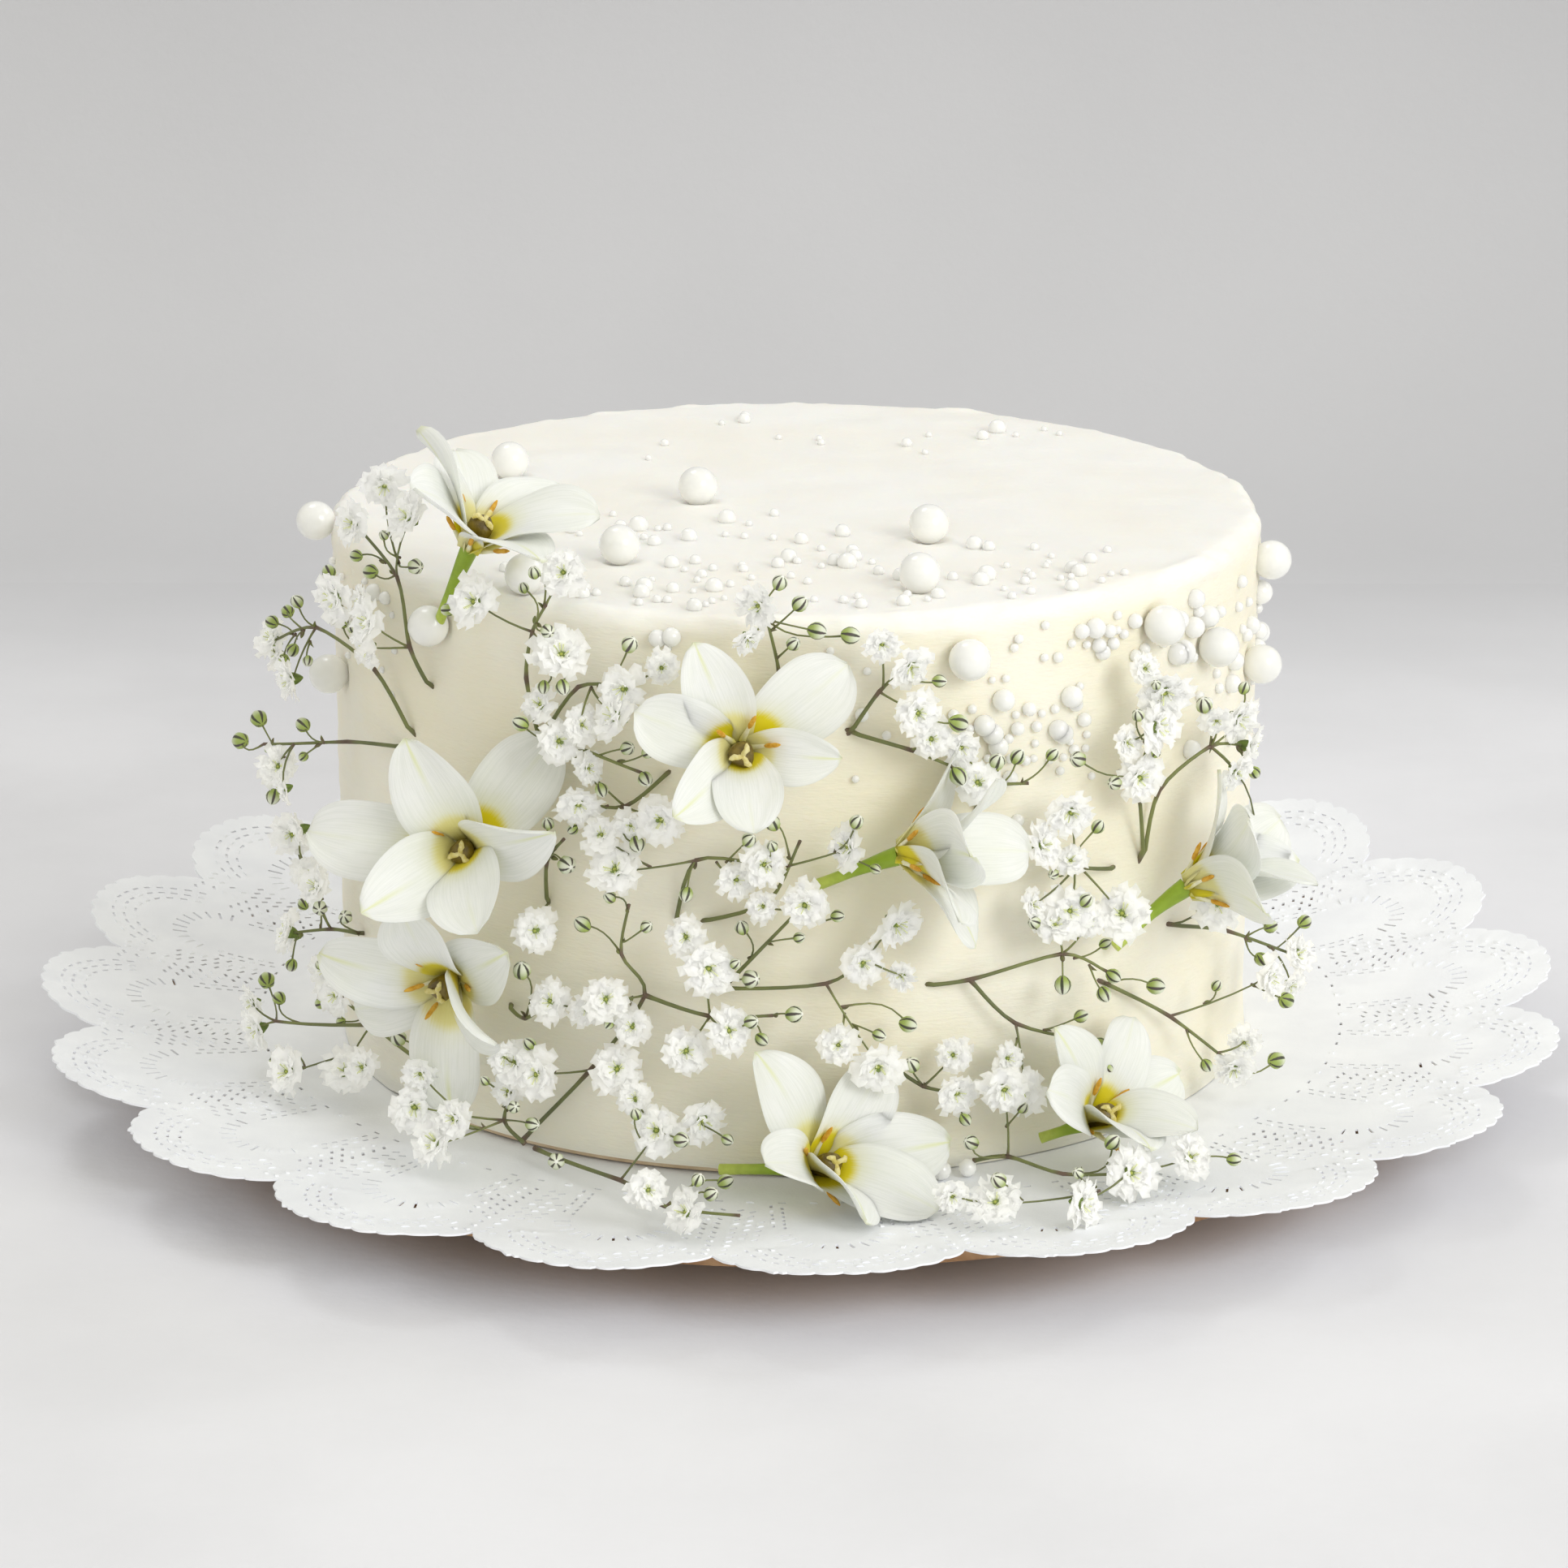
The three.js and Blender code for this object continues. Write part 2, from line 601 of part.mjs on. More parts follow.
    buds: [[38, 88, 8]] },
  { name: 'lower_left',
    stalks: [
      [[-91, 11, 1], [-102, 16, 5], [-110, 21, 9]],
      [[-102, 16, 5], [-121, 12, 19]],
    ],
    flowers: [[-111, 22, 10], [-101, 7, 12], [-106, 7, 22], [-123, 10, 22]],
    buds: [[-90, 17, 6], [-134, 16, 18]] },
  { name: 'left_low',
    stalks: [[[-117, 31, 1], [-122, 31, 6], [-130, 28, 13]]],
    flowers: [[-131, 28, 15], [-116, 43, 10], [-129, 51, 12]],
    buds: [[-107, 39, 8]] },
  { name: 'foot_left',
    stalks: [[[-55, 3, 6], [-57, 9, 10], [-54, 18, 10]]],
    flowers: [[-54, 22, 10], [-62, 7, 24], [-75, 9, 15]],
    buds: [[-50, 10, 11]] },
  { name: 'foot',
    stalks: [[[-52, 3, 7], [-30, 4, 18], [-20, 4, 29], [-8, 5, 34]]],
    flowers: [[-15, 7, 39], [-24, 14, 14], [-17, 16, 11]],
    buds: [[-11, 8, 24], [-41, 7, 20]] },
  { name: 'foot_right',
    stalks: [
      [[35, 3, 6], [40, 5, 11], [45, 5, 24], [52, 7, 34]],
    ],
    flowers: [[62, 8, 36], [38, 21, 13], [52, 8, 36], [40, 7, 43], [29, 7, 38]],
    buds: [[67, 8, 42], [32, 10, 13]] },
];
const SLANT = 1.1;
const TOUCHING = 3;
const FACE_UP = 0.25;
const STEM_SIDES = 3;

// The point of the stems so far from which a shoot reaches a spot soonest
function nearestFoot(stems, spot) {
  let best = null;
  for (const stem of stems) {
    for (let i = 0; i + 1 < stem.places.length; i += 1) {
      const from = stem.places[i];
      const to = stem.places[i + 1];
      const long = span(from, to);
      const along = from.reduce((sum, v, k) => sum + (spot[k] - v) * (to[k] - v), 0) / long;
      const aside = Math.sqrt(Math.max(0, span(from, spot) ** 2 - along * along));
      const share = Math.min(1, Math.max(0, (along - SLANT * aside) / long));
      const foot = mix(from, to, share);
      const reach = span(foot, spot);
      if (best === null || reach < best.reach) {
        best = { foot, reach };
      }
    }
  }
  return best;
}

// Stems, flowers and buds of one sprig
function layOut(plan, seed) {
  const draw = seeded(seed);
  const stems = plan.stalks.map((stalk) => ({ places: stalk, radius: STALK_R }));
  const flowers = [];
  for (const spot of plan.flowers) {
    const { foot, reach } = nearestFoot(stems, spot);
    const place = reach > TOUCHING ? spot : foot;
    if (reach > TOUCHING) {
      stems.push({ places: [foot, spot], radius: SHOOT_R });
    }
    flowers.push({ place, size: 0.88 + 0.24 * draw(), spin: draw() });
  }
  const buds = plan.buds.map((tip) => {
    const { foot } = nearestFoot(stems, tip);
    return { foot, tip, size: 0.85 + 0.3 * draw() };
  });
  return { stems, flowers, buds };
}

// A ruffled double flower as a star of two cones, facing +Z with its calyx at the origin
const RUFFLES = 6;
const RUFFLE_OUT = 0.09;
const RUFFLE_RISE = 0.12;
const RIM_REACH = 0.93;
const RIM_HEIGHT = 0.6;
const HEART_HEIGHT = 0.92;

function flowerShape(size, spare) {
  const radius = FLOWER_R * size + spare;
  const deep = FLOWER_DEEP * size;
  const star = new THREE.SphereGeometry(1, RUFFLES, 2).rotateX(Math.PI / 2);
  return reshape(star, (x, y, z) => {
    if (Math.abs(z) > 0.5) {
      return [0, 0, z > 0 ? deep * HEART_HEIGHT + spare : -spare];
    }
    const ruffle = Math.round((Math.atan2(y, x) / (2 * Math.PI)) * RUFFLES) % 2 === 0 ? 1 : -1;
    const reach = radius * (RIM_REACH + RUFFLE_OUT * ruffle);
    return [x * reach, y * reach, deep * (RIM_HEIGHT + RUFFLE_RISE * ruffle)];
  });
}

// A bud on its stalk, along +Z from the stem. Its foot is sunk into the stem.
const BUD_SUNK = 0.5;

function budShape(long, size, spare) {
  const thin = BUD_STALK_R + spare;
  const round = BUD_R * size + spare;
  return turned([
    [0, -BUD_SUNK - spare],
    [thin, 0],
    [round, Math.max(1, long - 0.5 * BUD_R * size)],
    [0, long + BUD_R * size + spare],
  ], 3);
}

function sprigSolid(plan, seed, spare) {
  const { stems, flowers, buds } = layOut(plan, seed);
  const pieces = stems.map(({ places, radius }) => tube(places.map(beside), radius, STEM_SIDES, spare));
  for (const flower of flowers) {
    const facing = outward(flower.place).addScaledVector(UP, FACE_UP).normalize();
    const shape = flowerShape(flower.size, spare).rotateZ(flower.spin);
    const calyx = beside(flower.place).addScaledVector(facing, -CALYX_BACK);
    pieces.push(aimed(shape, calyx, facing));
  }
  for (const bud of buds) {
    const foot = beside(bud.foot);
    const along = beside(bud.tip).sub(foot);
    pieces.push(aimed(budShape(along.length(), bud.size, spare), foot, along));
  }
  return join(pieces.map(toSolid));
}

// Finishes
const FINISH = {
  board: new THREE.MeshStandardMaterial({ color: '#b8946b', roughness: 0.85, metalness: 0 }),
  paper: new THREE.MeshStandardMaterial({ color: '#f4f4f2', roughness: 0.9, metalness: 0 }),
  card: new THREE.MeshStandardMaterial({ color: '#b59d80', roughness: 0.8, metalness: 0 }),
  icing: new THREE.MeshStandardMaterial({ color: '#f6f0e0', roughness: 0.5, metalness: 0 }),
  pearl: new THREE.MeshStandardMaterial({ color: '#fbf7ee', roughness: 0.2, metalness: 0 }),
  tepal: new THREE.MeshStandardMaterial({ color: '#f5f5ec', roughness: 0.55, metalness: 0 }),
  sprig: new THREE.MeshStandardMaterial({ color: '#e9eee2', roughness: 0.7, metalness: 0 }),
};

// The object
const object = new THREE.Group();

function place(name, geometry, material) {
  const mesh = new THREE.Mesh(geometry, material.clone());
  mesh.name = name;
  object.add(mesh);
}

place('board', toGeometry(toSolid(boardShape())), FINISH.board);
place('doily', toGeometry(toSolid(doilyShape(0))), FINISH.paper);
place('cake_card', toGeometry(toSolid(cardShape(0))), FINISH.card);

const bigPearls = bigPearlPlaces();
const pearlBeads = smallPearls();
const dimples = join(bigPearls.map((centre) => toSolid(dimpleShape(centre))));

function dressedCake(spare) {
  const beads = pearlBeads.map(({ centre, radius }) => toSolid(bead(centre, radius + spare)));
  return join([toSolid(cakeShape(spare)), ...beads]);
}

place('cake', toGeometry(largest(dressedCake(0).subtract(dimples))), FINISH.icing);
bigPearls.forEach((centre, i) => {
  place(`pearl_${i + 1}`, toGeometry(toSolid(bigPearlShape(centre))), FINISH.pearl);
});

// What a flower must keep clear of grows as the pieces are added.
let taken = join([
  dressedCake(GAP),
  dimples,
  toSolid(doilyShape(GAP)),
  toSolid(cardShape(GAP)),
]);

function placeClear(name, solid, grown, material) {
  place(name, toGeometry(largest(solid.subtract(taken))), material);
  taken = taken.add(grown);
}

BLOSSOMS.forEach((plan, i) => {
  const seed = 101 + i;
  placeClear(`blossom_${plan.name}`, blossomSolid(plan, seed, 0), blossomSolid(plan, seed, GAP),
    FINISH.tepal);
});
SPRIGS.forEach((plan, i) => {
  const seed = 301 + i;
  placeClear(`sprig_${plan.name}`, sprigSolid(plan, seed, 0), sprigSolid(plan, seed, GAP),
    FINISH.sprig);
});

export default object;
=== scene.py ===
# %% [markdown]
# # A round iced cake dressed with pearls, white blossoms and fine sprigs
# The cake stands on a paper lace doily and a kraft board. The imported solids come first, as a
# fixed frame: every piece made below is fitted to them, rides on the same body and hides the
# plain solid that it stands for. Sizes are kept in millimetres while shapes are worked out,
# and become metres at the moment a mesh is made, because that is what Blender expects.

import math

import bmesh
import bpy
import numpy as np
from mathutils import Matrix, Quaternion, Vector, noise
from mathutils.geometry import delaunay_2d_cdt


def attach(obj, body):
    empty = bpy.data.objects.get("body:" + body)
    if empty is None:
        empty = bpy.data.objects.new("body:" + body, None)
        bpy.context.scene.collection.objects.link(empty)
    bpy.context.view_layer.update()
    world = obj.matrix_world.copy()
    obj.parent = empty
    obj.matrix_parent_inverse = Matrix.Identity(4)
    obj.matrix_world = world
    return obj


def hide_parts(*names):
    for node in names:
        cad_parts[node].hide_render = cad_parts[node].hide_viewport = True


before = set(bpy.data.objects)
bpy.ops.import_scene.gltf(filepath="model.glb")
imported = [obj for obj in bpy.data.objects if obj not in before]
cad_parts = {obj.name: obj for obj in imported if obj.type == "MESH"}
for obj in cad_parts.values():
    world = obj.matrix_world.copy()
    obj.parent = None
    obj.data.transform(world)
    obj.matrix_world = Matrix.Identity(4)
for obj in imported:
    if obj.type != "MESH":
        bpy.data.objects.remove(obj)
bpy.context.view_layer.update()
MM = 0.001
BODY = "root"

# %% [markdown]
# ## Sizes
# A cake is set out from its axis. These are the sizes that the solids were drawn from, with
# the same names, so a dressed piece and the solid under it follow one set of numbers.

# %% Sizes of the stack
GAP = 0.3
CAKE_R = 100
CAKE_TALL = 117
CAKE_X = -1.3
CAKE_Y = -7.1
CARD_R = 99.6
CARD_THICK = 1.4
DOILY_TIP_R = 169.5
DOILY_NOTCH_R = 157
DOILY_FLAT_R = 122
DOILY_THICK = 0.6
DOILY_LOBES = 20
BOARD_R = 145
BOARD_FOOT_R = 115
BOARD_TALL = 12
BOARD_EDGE = 3
DOILY_FOOT = BOARD_TALL + GAP
CARD_FOOT = DOILY_FOOT + DOILY_THICK + GAP
CAKE_FOOT = CARD_FOOT + CARD_THICK + GAP
CAKE_TOP = CARD_FOOT + CAKE_TALL
print("cake from", CAKE_FOOT, "to", CAKE_TOP, "mm")

# %% [markdown]
# ## Places round the cake
# A decorator works along the side of the cake, so a place is given as arc along the icing,
# height over the card and distance out from the icing. One small function turns that into a
# point. Random choices come from one short rule with a seed, so each run gives the same cake.


# %% Places and repeatable draws
def beside(spot):
    """A point from arc, height and distance out, in millimetres."""
    arc, up, out = spot
    turn = arc / CAKE_R
    reach = CAKE_R + out
    return Vector((CAKE_X + reach * math.sin(turn), CAKE_Y - reach * math.cos(turn),
                   CARD_FOOT + up))


def outward(spot):
    """The direction straight out of the icing at a place."""
    turn = spot[0] / CAKE_R
    return Vector((math.sin(turn), -math.cos(turn), 0))


def seeded(seed):
    """Repeatable draws between 0 and 1."""
    state = seed

    def draw():
        nonlocal state
        state = state * 16807 % 2147483647
        return state / 2147483647

    return draw


print("front of the icing", [round(v, 1) for v in beside((0, 60, 0))])

# %% [markdown]
# ## From shapes to pieces
# A piece gathers the corners and faces of its parts, and for each corner two marks that its
# finish can read: how far along the part it lies, and how far across. Collecting arrays and
# making one mesh at the end is much quicker than adding corners to a live mesh.


# %% Objects, marks and rings
MARK_KINDS = {"FLOAT": ("value", np.float32), "INT": ("value", np.int32),
              "FLOAT_VECTOR": ("vector", np.float32)}


def placed(name, data):
    """A new object in the scene."""
    made = bpy.data.objects.new(name, data)
    bpy.context.scene.collection.objects.link(made)
    return made


def put_mark(mesh, name, values, kind="FLOAT"):
    """Gives each corner of a mesh a value under a name."""
    field, number = MARK_KINDS[kind]
    layer = mesh.attributes.new(name, kind, "POINT")
    layer.data.foreach_set(field, np.array(values, number).ravel())


def ring_faces(rings, sides):
    """The faces between rings of corners, each ring above the one before it."""
    faces = []
    for low in range(0, (rings - 1) * sides, sides):
        for i in range(sides):
            j = (i + 1) % sides
            faces.append((low + i, low + j, low + sides + j, low + sides + i))
    return faces


# %% Gather parts and make a piece
class Parts:
    """Corners, faces, marks and finish numbers of one piece, in millimetres."""

    def __init__(self):
        self.corners = []
        self.faces = []
        self.finish = []
        self.along = []
        self.across = []
        self.count = 0

    def add(self, corners, faces, finish=0, along=0.0, across=0.0):
        corners = np.asarray(corners, float).reshape(-1, 3)
        many = len(corners)
        self.corners.append(corners)
        self.faces.extend(tuple(i + self.count for i in face) for face in faces)
        self.finish.extend([finish] * len(faces))
        self.along.append(np.broadcast_to(np.asarray(along, float), many))
        self.across.append(np.broadcast_to(np.asarray(across, float), many))
        self.count += many

    def add_part(self, part, finish=0, place=lambda corners: corners):
        """Adds corners, faces and marks that belong together, moved by place."""
        corners, faces, along, across = part
        self.add(place(corners), faces, finish, along, across)

    def mesh(self, name, finishes, crease=50):
        made = bpy.data.meshes.new(name)
        corners = np.concatenate(self.corners) * MM
        made.from_pydata(corners.tolist(), [], self.faces)
        for material in finishes:
            made.materials.append(material)
        made.polygons.foreach_set("material_index", self.finish)
        put_mark(made, "along", np.concatenate(self.along))
        put_mark(made, "across", np.concatenate(self.across))
        made.shade_smooth()
        made.set_sharp_from_angle(angle=math.radians(crease))
        made.validate()
        return made


def show(name, mesh, slot, *nodes):
    """Puts a finished mesh in the scene, riding on the cake's body."""
    piece = placed(name, mesh)
    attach(piece, BODY)
    if nodes:
        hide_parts(*nodes)
    triangles = sum(len(face.vertices) - 2 for face in mesh.polygons)
    print(f"{name}: {len(mesh.vertices)} corners, {triangles} triangles")


# %% [markdown]
# ## Camera
# The photograph was taken a little above the cake, from nearly a metre in front, with a long
# lens. Measuring the ellipses of the cake's top and foot gives the tilt and the distance.

# %% Camera
EYE = (-1.3, -977.7, 364.5)
LOOK_DOWN = 17.115
LOOK_LEFT = 0.1396
LENS = 105.6
SENSOR = 36
NEAREST = 0.05
camera_data = bpy.data.cameras.new("camera")
camera_data.lens = LENS
camera_data.sensor_width = SENSOR
camera_data.clip_start = NEAREST
camera = placed("camera", camera_data)
camera.location = Vector(EYE) * MM
camera.rotation_euler = (math.radians(90 - LOOK_DOWN), 0, math.radians(LOOK_LEFT))
bpy.context.scene.camera = camera
print("camera at", [round(v, 3) for v in camera.location], "lens", LENS)

# %% [markdown]
# ## Shared effects for the finishes
# Icing, paper, board and petals all vary softly over their surface, so one node group makes
# that mottling and another makes fine relief. Each finish sets the scale and strength that
# suits it. The groups read Object coordinates, which stay with the piece from every side.


# %% Helpers for node trees
def put(tree, kind, inputs=None, **settings):
    """A node with its inputs set: a socket is linked, and anything else is a value."""
    made = tree.nodes.new(kind)
    for key, value in settings.items():
        setattr(made, key, value)
    for key, value in (inputs or {}).items():
        socket = made.inputs[key]
        if isinstance(value, bpy.types.NodeSocket):
            tree.links.new(value, socket)
        else:
            socket.default_value = value
    return made


def sums(tree, operation, a, b=0.0, clamp=False):
    """A Math node's result."""
    made = put(tree, "ShaderNodeMath", {0: a, 1: b}, operation=operation, use_clamp=clamp)
    return made.outputs[0]


def product(tree, a, b):
    """Two values multiplied."""
    return sums(tree, "MULTIPLY", a, b)


def between(tree, value, low, high):
    """0 at low and 1 at high, easing in between."""
    made = put(tree, "ShaderNodeMapRange", {
        "Value": value, "From Min": low, "From Max": high}, interpolation_type="SMOOTHSTEP")
    return made.outputs["Result"]


def linear(shade):
    """A shade of red, green and blue from 0 to 255, as the shader wants it."""
    return (*[((v / 255 + 0.055) / 1.055) ** 2.4 if v > 10 else v / 255 / 12.92
              for v in shade], 1.0)


def blend(tree, share, first, second):
    """A colour between two others, each of them a socket or a shade from 0 to 255."""
    first, second = (linear(c) if isinstance(c, tuple) else c for c in (first, second))
    made = put(tree, "ShaderNodeMix", {0: share, 6: first, 7: second}, data_type="RGBA")
    return made.outputs[2]


def darker(shade, share):
    """A shade made darker."""
    return tuple(int(v * share) for v in shade)


def object_place(tree):
    """A point's place on its piece, which stays the same from every side."""
    return put(tree, "ShaderNodeTexCoord").outputs["Object"]


# %% Node groups for mottling and relief
def new_group(name, kind, inputs, outputs):
    """An empty node group with the sockets that come in and those that go out."""
    tree = bpy.data.node_groups.new(name, kind)
    for way, sockets in (("INPUT", inputs), ("OUTPUT", outputs)):
        for label, socket, *value in sockets:
            made = tree.interface.new_socket(
                label, in_out=way, socket_type="NodeSocket" + socket)
            if value:
                made.default_value = value[0]
    given = tree.nodes.new("NodeGroupInput")
    result = tree.nodes.new("NodeGroupOutput")
    return tree, given.outputs, result.inputs


def mottling_group():
    """Soft blotches, from 0 to 1."""
    tree, given, result = new_group(
        "mottling", "ShaderNodeTree",
        [("Scale", "Float", 40.0), ("Detail", "Float", 3.0)], [("Share", "Float")])
    blotches = put(tree, "ShaderNodeTexNoise", {
        "Vector": object_place(tree), "Scale": given["Scale"], "Detail": given["Detail"]})
    tree.links.new(between(tree, blotches.outputs[0], 0.3, 0.7), result["Share"])
    return tree


def relief_group():
    """Fine relief stretched along the piece, as a height."""
    tree, given, result = new_group(
        "relief", "ShaderNodeTree",
        [("Scale", "Float", 400.0), ("Stretch", "Vector", (1, 1, 1)),
         ("Coarse", "Float", 0.5)], [("Height", "Float")])
    pulled = put(tree, "ShaderNodeVectorMath", {0: object_place(tree), 1: given["Stretch"]},
                 operation="MULTIPLY").outputs[0]
    fine = put(tree, "ShaderNodeTexNoise", {
        "Vector": pulled, "Scale": given["Scale"], "Detail": 4.0})
    wide = put(tree, "ShaderNodeTexNoise", {
        "Vector": pulled, "Scale": product(tree, given["Scale"], 0.22), "Detail": 2.0})
    coarse = product(tree, wide.outputs[0], given["Coarse"])
    tree.links.new(sums(tree, "ADD", fine.outputs[0], coarse), result["Height"])
    return tree


MOTTLING = mottling_group()
RELIEF = relief_group()
print("node groups", MOTTLING.name, RELIEF.name)


# %% Finishes start from one soft surface
def finish(name, roughness, **constants):
    """A material, its node tree and its shader, with the shader's own constant values."""
    material = bpy.data.materials.new(name)
    material.use_nodes = True
    tree = material.node_tree
    shader = tree.nodes["Principled BSDF"]
    shader.inputs["Roughness"].default_value = roughness
    for label, value in constants.items():
        shader.inputs[label.replace("_", " ")].default_value = value
    return material, tree, shader


def mottled(tree, scale, detail=3.0):
    """Soft blotches from 0 to 1, by the group."""
    made = put(tree, "ShaderNodeGroup", node_tree=MOTTLING)
    made.inputs["Scale"].default_value = scale
    made.inputs["Detail"].default_value = detail
    return made.outputs["Share"]


def tinted(tree, shader, tint):
    """Wires a colour to a shader."""
    tree.links.new(tint, shader.inputs["Base Color"])


def bumped(tree, shader, height, depth, strength):
    """Wires a height to a shader's normal. depth is in millimetres."""
    bump = put(tree, "ShaderNodeBump", {
        "Height": height, "Strength": strength, "Distance": depth * MM})
    tree.links.new(bump.outputs["Normal"], shader.inputs["Normal"])


def relieved(tree, shader, scale, depth, stretch=(1, 1, 1), coarse=0.5, strength=1.0):
    """Wires fine relief, by the group, to a shader's normal."""
    made = put(tree, "ShaderNodeGroup", node_tree=RELIEF)
    made.inputs["Scale"].default_value = scale
    made.inputs["Stretch"].default_value = stretch
    made.inputs["Coarse"].default_value = coarse
    bumped(tree, shader, made.outputs["Height"], depth, strength)


def two_tone(name, roughness, first, second, blotches, relief, depth, detail=3.0,
             stretch=(1, 1, 1), coarse=0.5, **constants):
    """A finish that wavers between two shades, with fine relief."""
    material, tree, shader = finish(name, roughness, **constants)
    share = mottled(tree, blotches, detail)
    tinted(tree, shader, blend(tree, share, first, second))
    relieved(tree, shader, relief, depth, stretch, coarse)
    return material


def mark(tree, name):
    """A corner mark, read as a number."""
    return put(tree, "ShaderNodeAttribute", attribute_name=name).outputs["Fac"]


# %% [markdown]
# ## Copies by Geometry Nodes
# Pearls, small flowers and buds repeat one shape at many places. A tree of nodes does it: it
# takes points that carry a turn, a size and a kind, stands a copy from a collection on each,
# and makes the copies real. The result is read back as a plain mesh, so nothing live is left.


# %% Tree that stands copies on points
def new_tree(name, *inputs):
    """A tree that takes a shape, some sizes and a finish, and gives a shape."""
    return new_group(name, "GeometryNodeTree",
                     [("Geometry", "Geometry"), *inputs, ("Finish", "Material")],
                     [("Geometry", "Geometry")])


def read_mark(tree, name, kind="FLOAT"):
    """A corner's mark, inside a tree of Geometry Nodes."""
    return put(tree, "GeometryNodeInputNamedAttribute", {"Name": name},
               data_type=kind).outputs[0]


def made_real(tree, geometry, material, result):
    """The end of each tree: copies become real geometry, and it gets its finish."""
    real = put(tree, "GeometryNodeRealizeInstances", {"Geometry": geometry})
    dressed = put(tree, "GeometryNodeSetMaterial", {
        "Geometry": real.outputs[0], "Material": material})
    tree.links.new(dressed.outputs[0], result["Geometry"])


def copies_tree():
    """A copy from a collection on each point, by the point's marks."""
    tree, given, result = new_tree(
        "copies on points", ("Shapes", "Collection"), ("Size", "Float", 1.0))
    shapes = put(tree, "GeometryNodeCollectionInfo", {
        "Collection": given["Shapes"], "Separate Children": True, "Reset Children": True})
    turn = put(tree, "FunctionNodeEulerToRotation", {
        "Euler": read_mark(tree, "turn", "FLOAT_VECTOR")})
    size = product(tree, read_mark(tree, "size"), given["Size"])
    stand = put(tree, "GeometryNodeInstanceOnPoints", {
        "Points": given["Geometry"], "Instance": shapes.outputs[0], "Pick Instance": True,
        "Instance Index": read_mark(tree, "kind", "INT"),
        "Rotation": turn.outputs[0], "Scale": size})
    made_real(tree, stand.outputs[0], given["Finish"], result)
    return tree


COPIES = copies_tree()


# %% Running a tree and reading its result
def plain_mesh(holder):
    """The plain mesh that an object's modifier makes. The object and its mesh are removed."""
    depsgraph = bpy.context.evaluated_depsgraph_get()
    result = bpy.data.meshes.new_from_object(
        holder.evaluated_get(depsgraph), preserve_all_data_layers=True, depsgraph=depsgraph)
    holder.modifiers.clear()
    source = holder.data
    bpy.data.objects.remove(holder)
    bpy.data.meshes.remove(source)
    return result


def run_tree(mesh, tree, values):
    """The plain mesh that a tree makes from a mesh. values are its named inputs."""
    holder = placed("holder", mesh)
    modifier = holder.modifiers.new("tree", "NODES")
    modifier.node_group = tree
    for socket in tree.interface.items_tree:
        if socket.in_out == "INPUT" and socket.name in values:
            modifier[socket.identifier] = values[socket.name]
    return plain_mesh(holder)


def shape_store(name, meshes):
    """A collection of shapes to copy, kept out of the scene."""
    store = bpy.data.collections.new(name)
    for i, mesh in enumerate(meshes):
        store.objects.link(bpy.data.objects.new(f"{name}.{i:02d}", mesh))
    return store


def copies(places, turns, sizes, kinds, store, material):
    """One plain mesh of copies of the store's shapes, at places in millimetres."""
    mesh = bpy.data.meshes.new("points")
    mesh.from_pydata([tuple(Vector(place) * MM) for place in places], [], [])
    put_mark(mesh, "turn", turns, "FLOAT_VECTOR")
    put_mark(mesh, "size", sizes)
    put_mark(mesh, "kind", kinds, "INT")
    made = run_tree(mesh, COPIES, {"Shapes": store, "Size": 1.0, "Finish": material})
    for name in ("turn", "size", "kind"):
        if name in made.attributes:
            made.attributes.remove(made.attributes[name])
    return made


# %% [markdown]
# ## Icing
# The real coat is butter icing drawn smooth with a palette knife: nearly flat, with shallow
# strokes round the side, a few pits, and a soft top edge that is a little uneven. A lathe
# gives the form, and shallow noise, pulled out along the strokes, gives the hand work. It is
# real relief where it changes the light at arm's length, and bump where it is finer.

# %% Icing profile
FOOT_OUT = 0.35
SKIRT_IN = 99.85
BELLY_OUT = 0.2
EDGE_ROUND = 4.2
ICING_WAVE = 0.35
ICING_COLUMNS = 432
SIDE_ROWS = 82
EDGE_ROWS = 9
TOP_RINGS = 52


def icing_profile():
    """Rows of radius, height, outward share and upward share, from the foot to the middle."""
    tall = CAKE_TOP - CAKE_FOOT
    rows = [(SKIRT_IN, 0.0, 0.0, 0.0), (SKIRT_IN, 0.0, 0.0, 0.0)]
    for i in range(SIDE_ROWS + 1):
        share = i / SIDE_ROWS
        height = share * (tall - EDGE_ROUND)
        radius = CAKE_R + FOOT_OUT * (1 - min(1, share * 12)) ** 2
        rows.append((radius + BELLY_OUT * math.sin(math.pi * share), height, 1.0, 0.0))
    for i in range(1, EDGE_ROWS + 1):
        angle = math.pi / 2 * i / EDGE_ROWS
        rows.append((
            CAKE_R - EDGE_ROUND * (1 - math.cos(angle)),
            tall - EDGE_ROUND * (1 - math.sin(angle)),
            math.cos(angle), math.sin(angle),
        ))
    inner = CAKE_R - EDGE_ROUND
    for i in range(1, TOP_RINGS):
        rows.append((inner * (1 - i / TOP_RINGS), tall, 0.0, 1.0))
    return rows


# %% [markdown]
# Close up, the icing shows what the knife did: long strokes, small smears across them, a few
# pits, and a lip at the top edge that breaks into crumbs of icing. Noise pulled out along the
# strokes gives each of these its own direction, and a slow wave keeps the side from being a
# perfect drum.

# %% Icing relief
STROKE = 0.36
SMEAR = 0.36
RIM_LIP = 0.8
LIP_HOLLOW = 0.25
PIT_COUNT = 46
PIT_SEED = 77
PIT_LOWEST = 6
PIT_BAND = 104


def icing_wave(turn, up):
    """A slow swell round the side, in millimetres."""
    slow = math.sin(3 * turn + 0.7 + up / 40)
    quick = math.sin(8 * turn - up / 25)
    return ICING_WAVE * (0.7 * slow + 0.3 * quick)


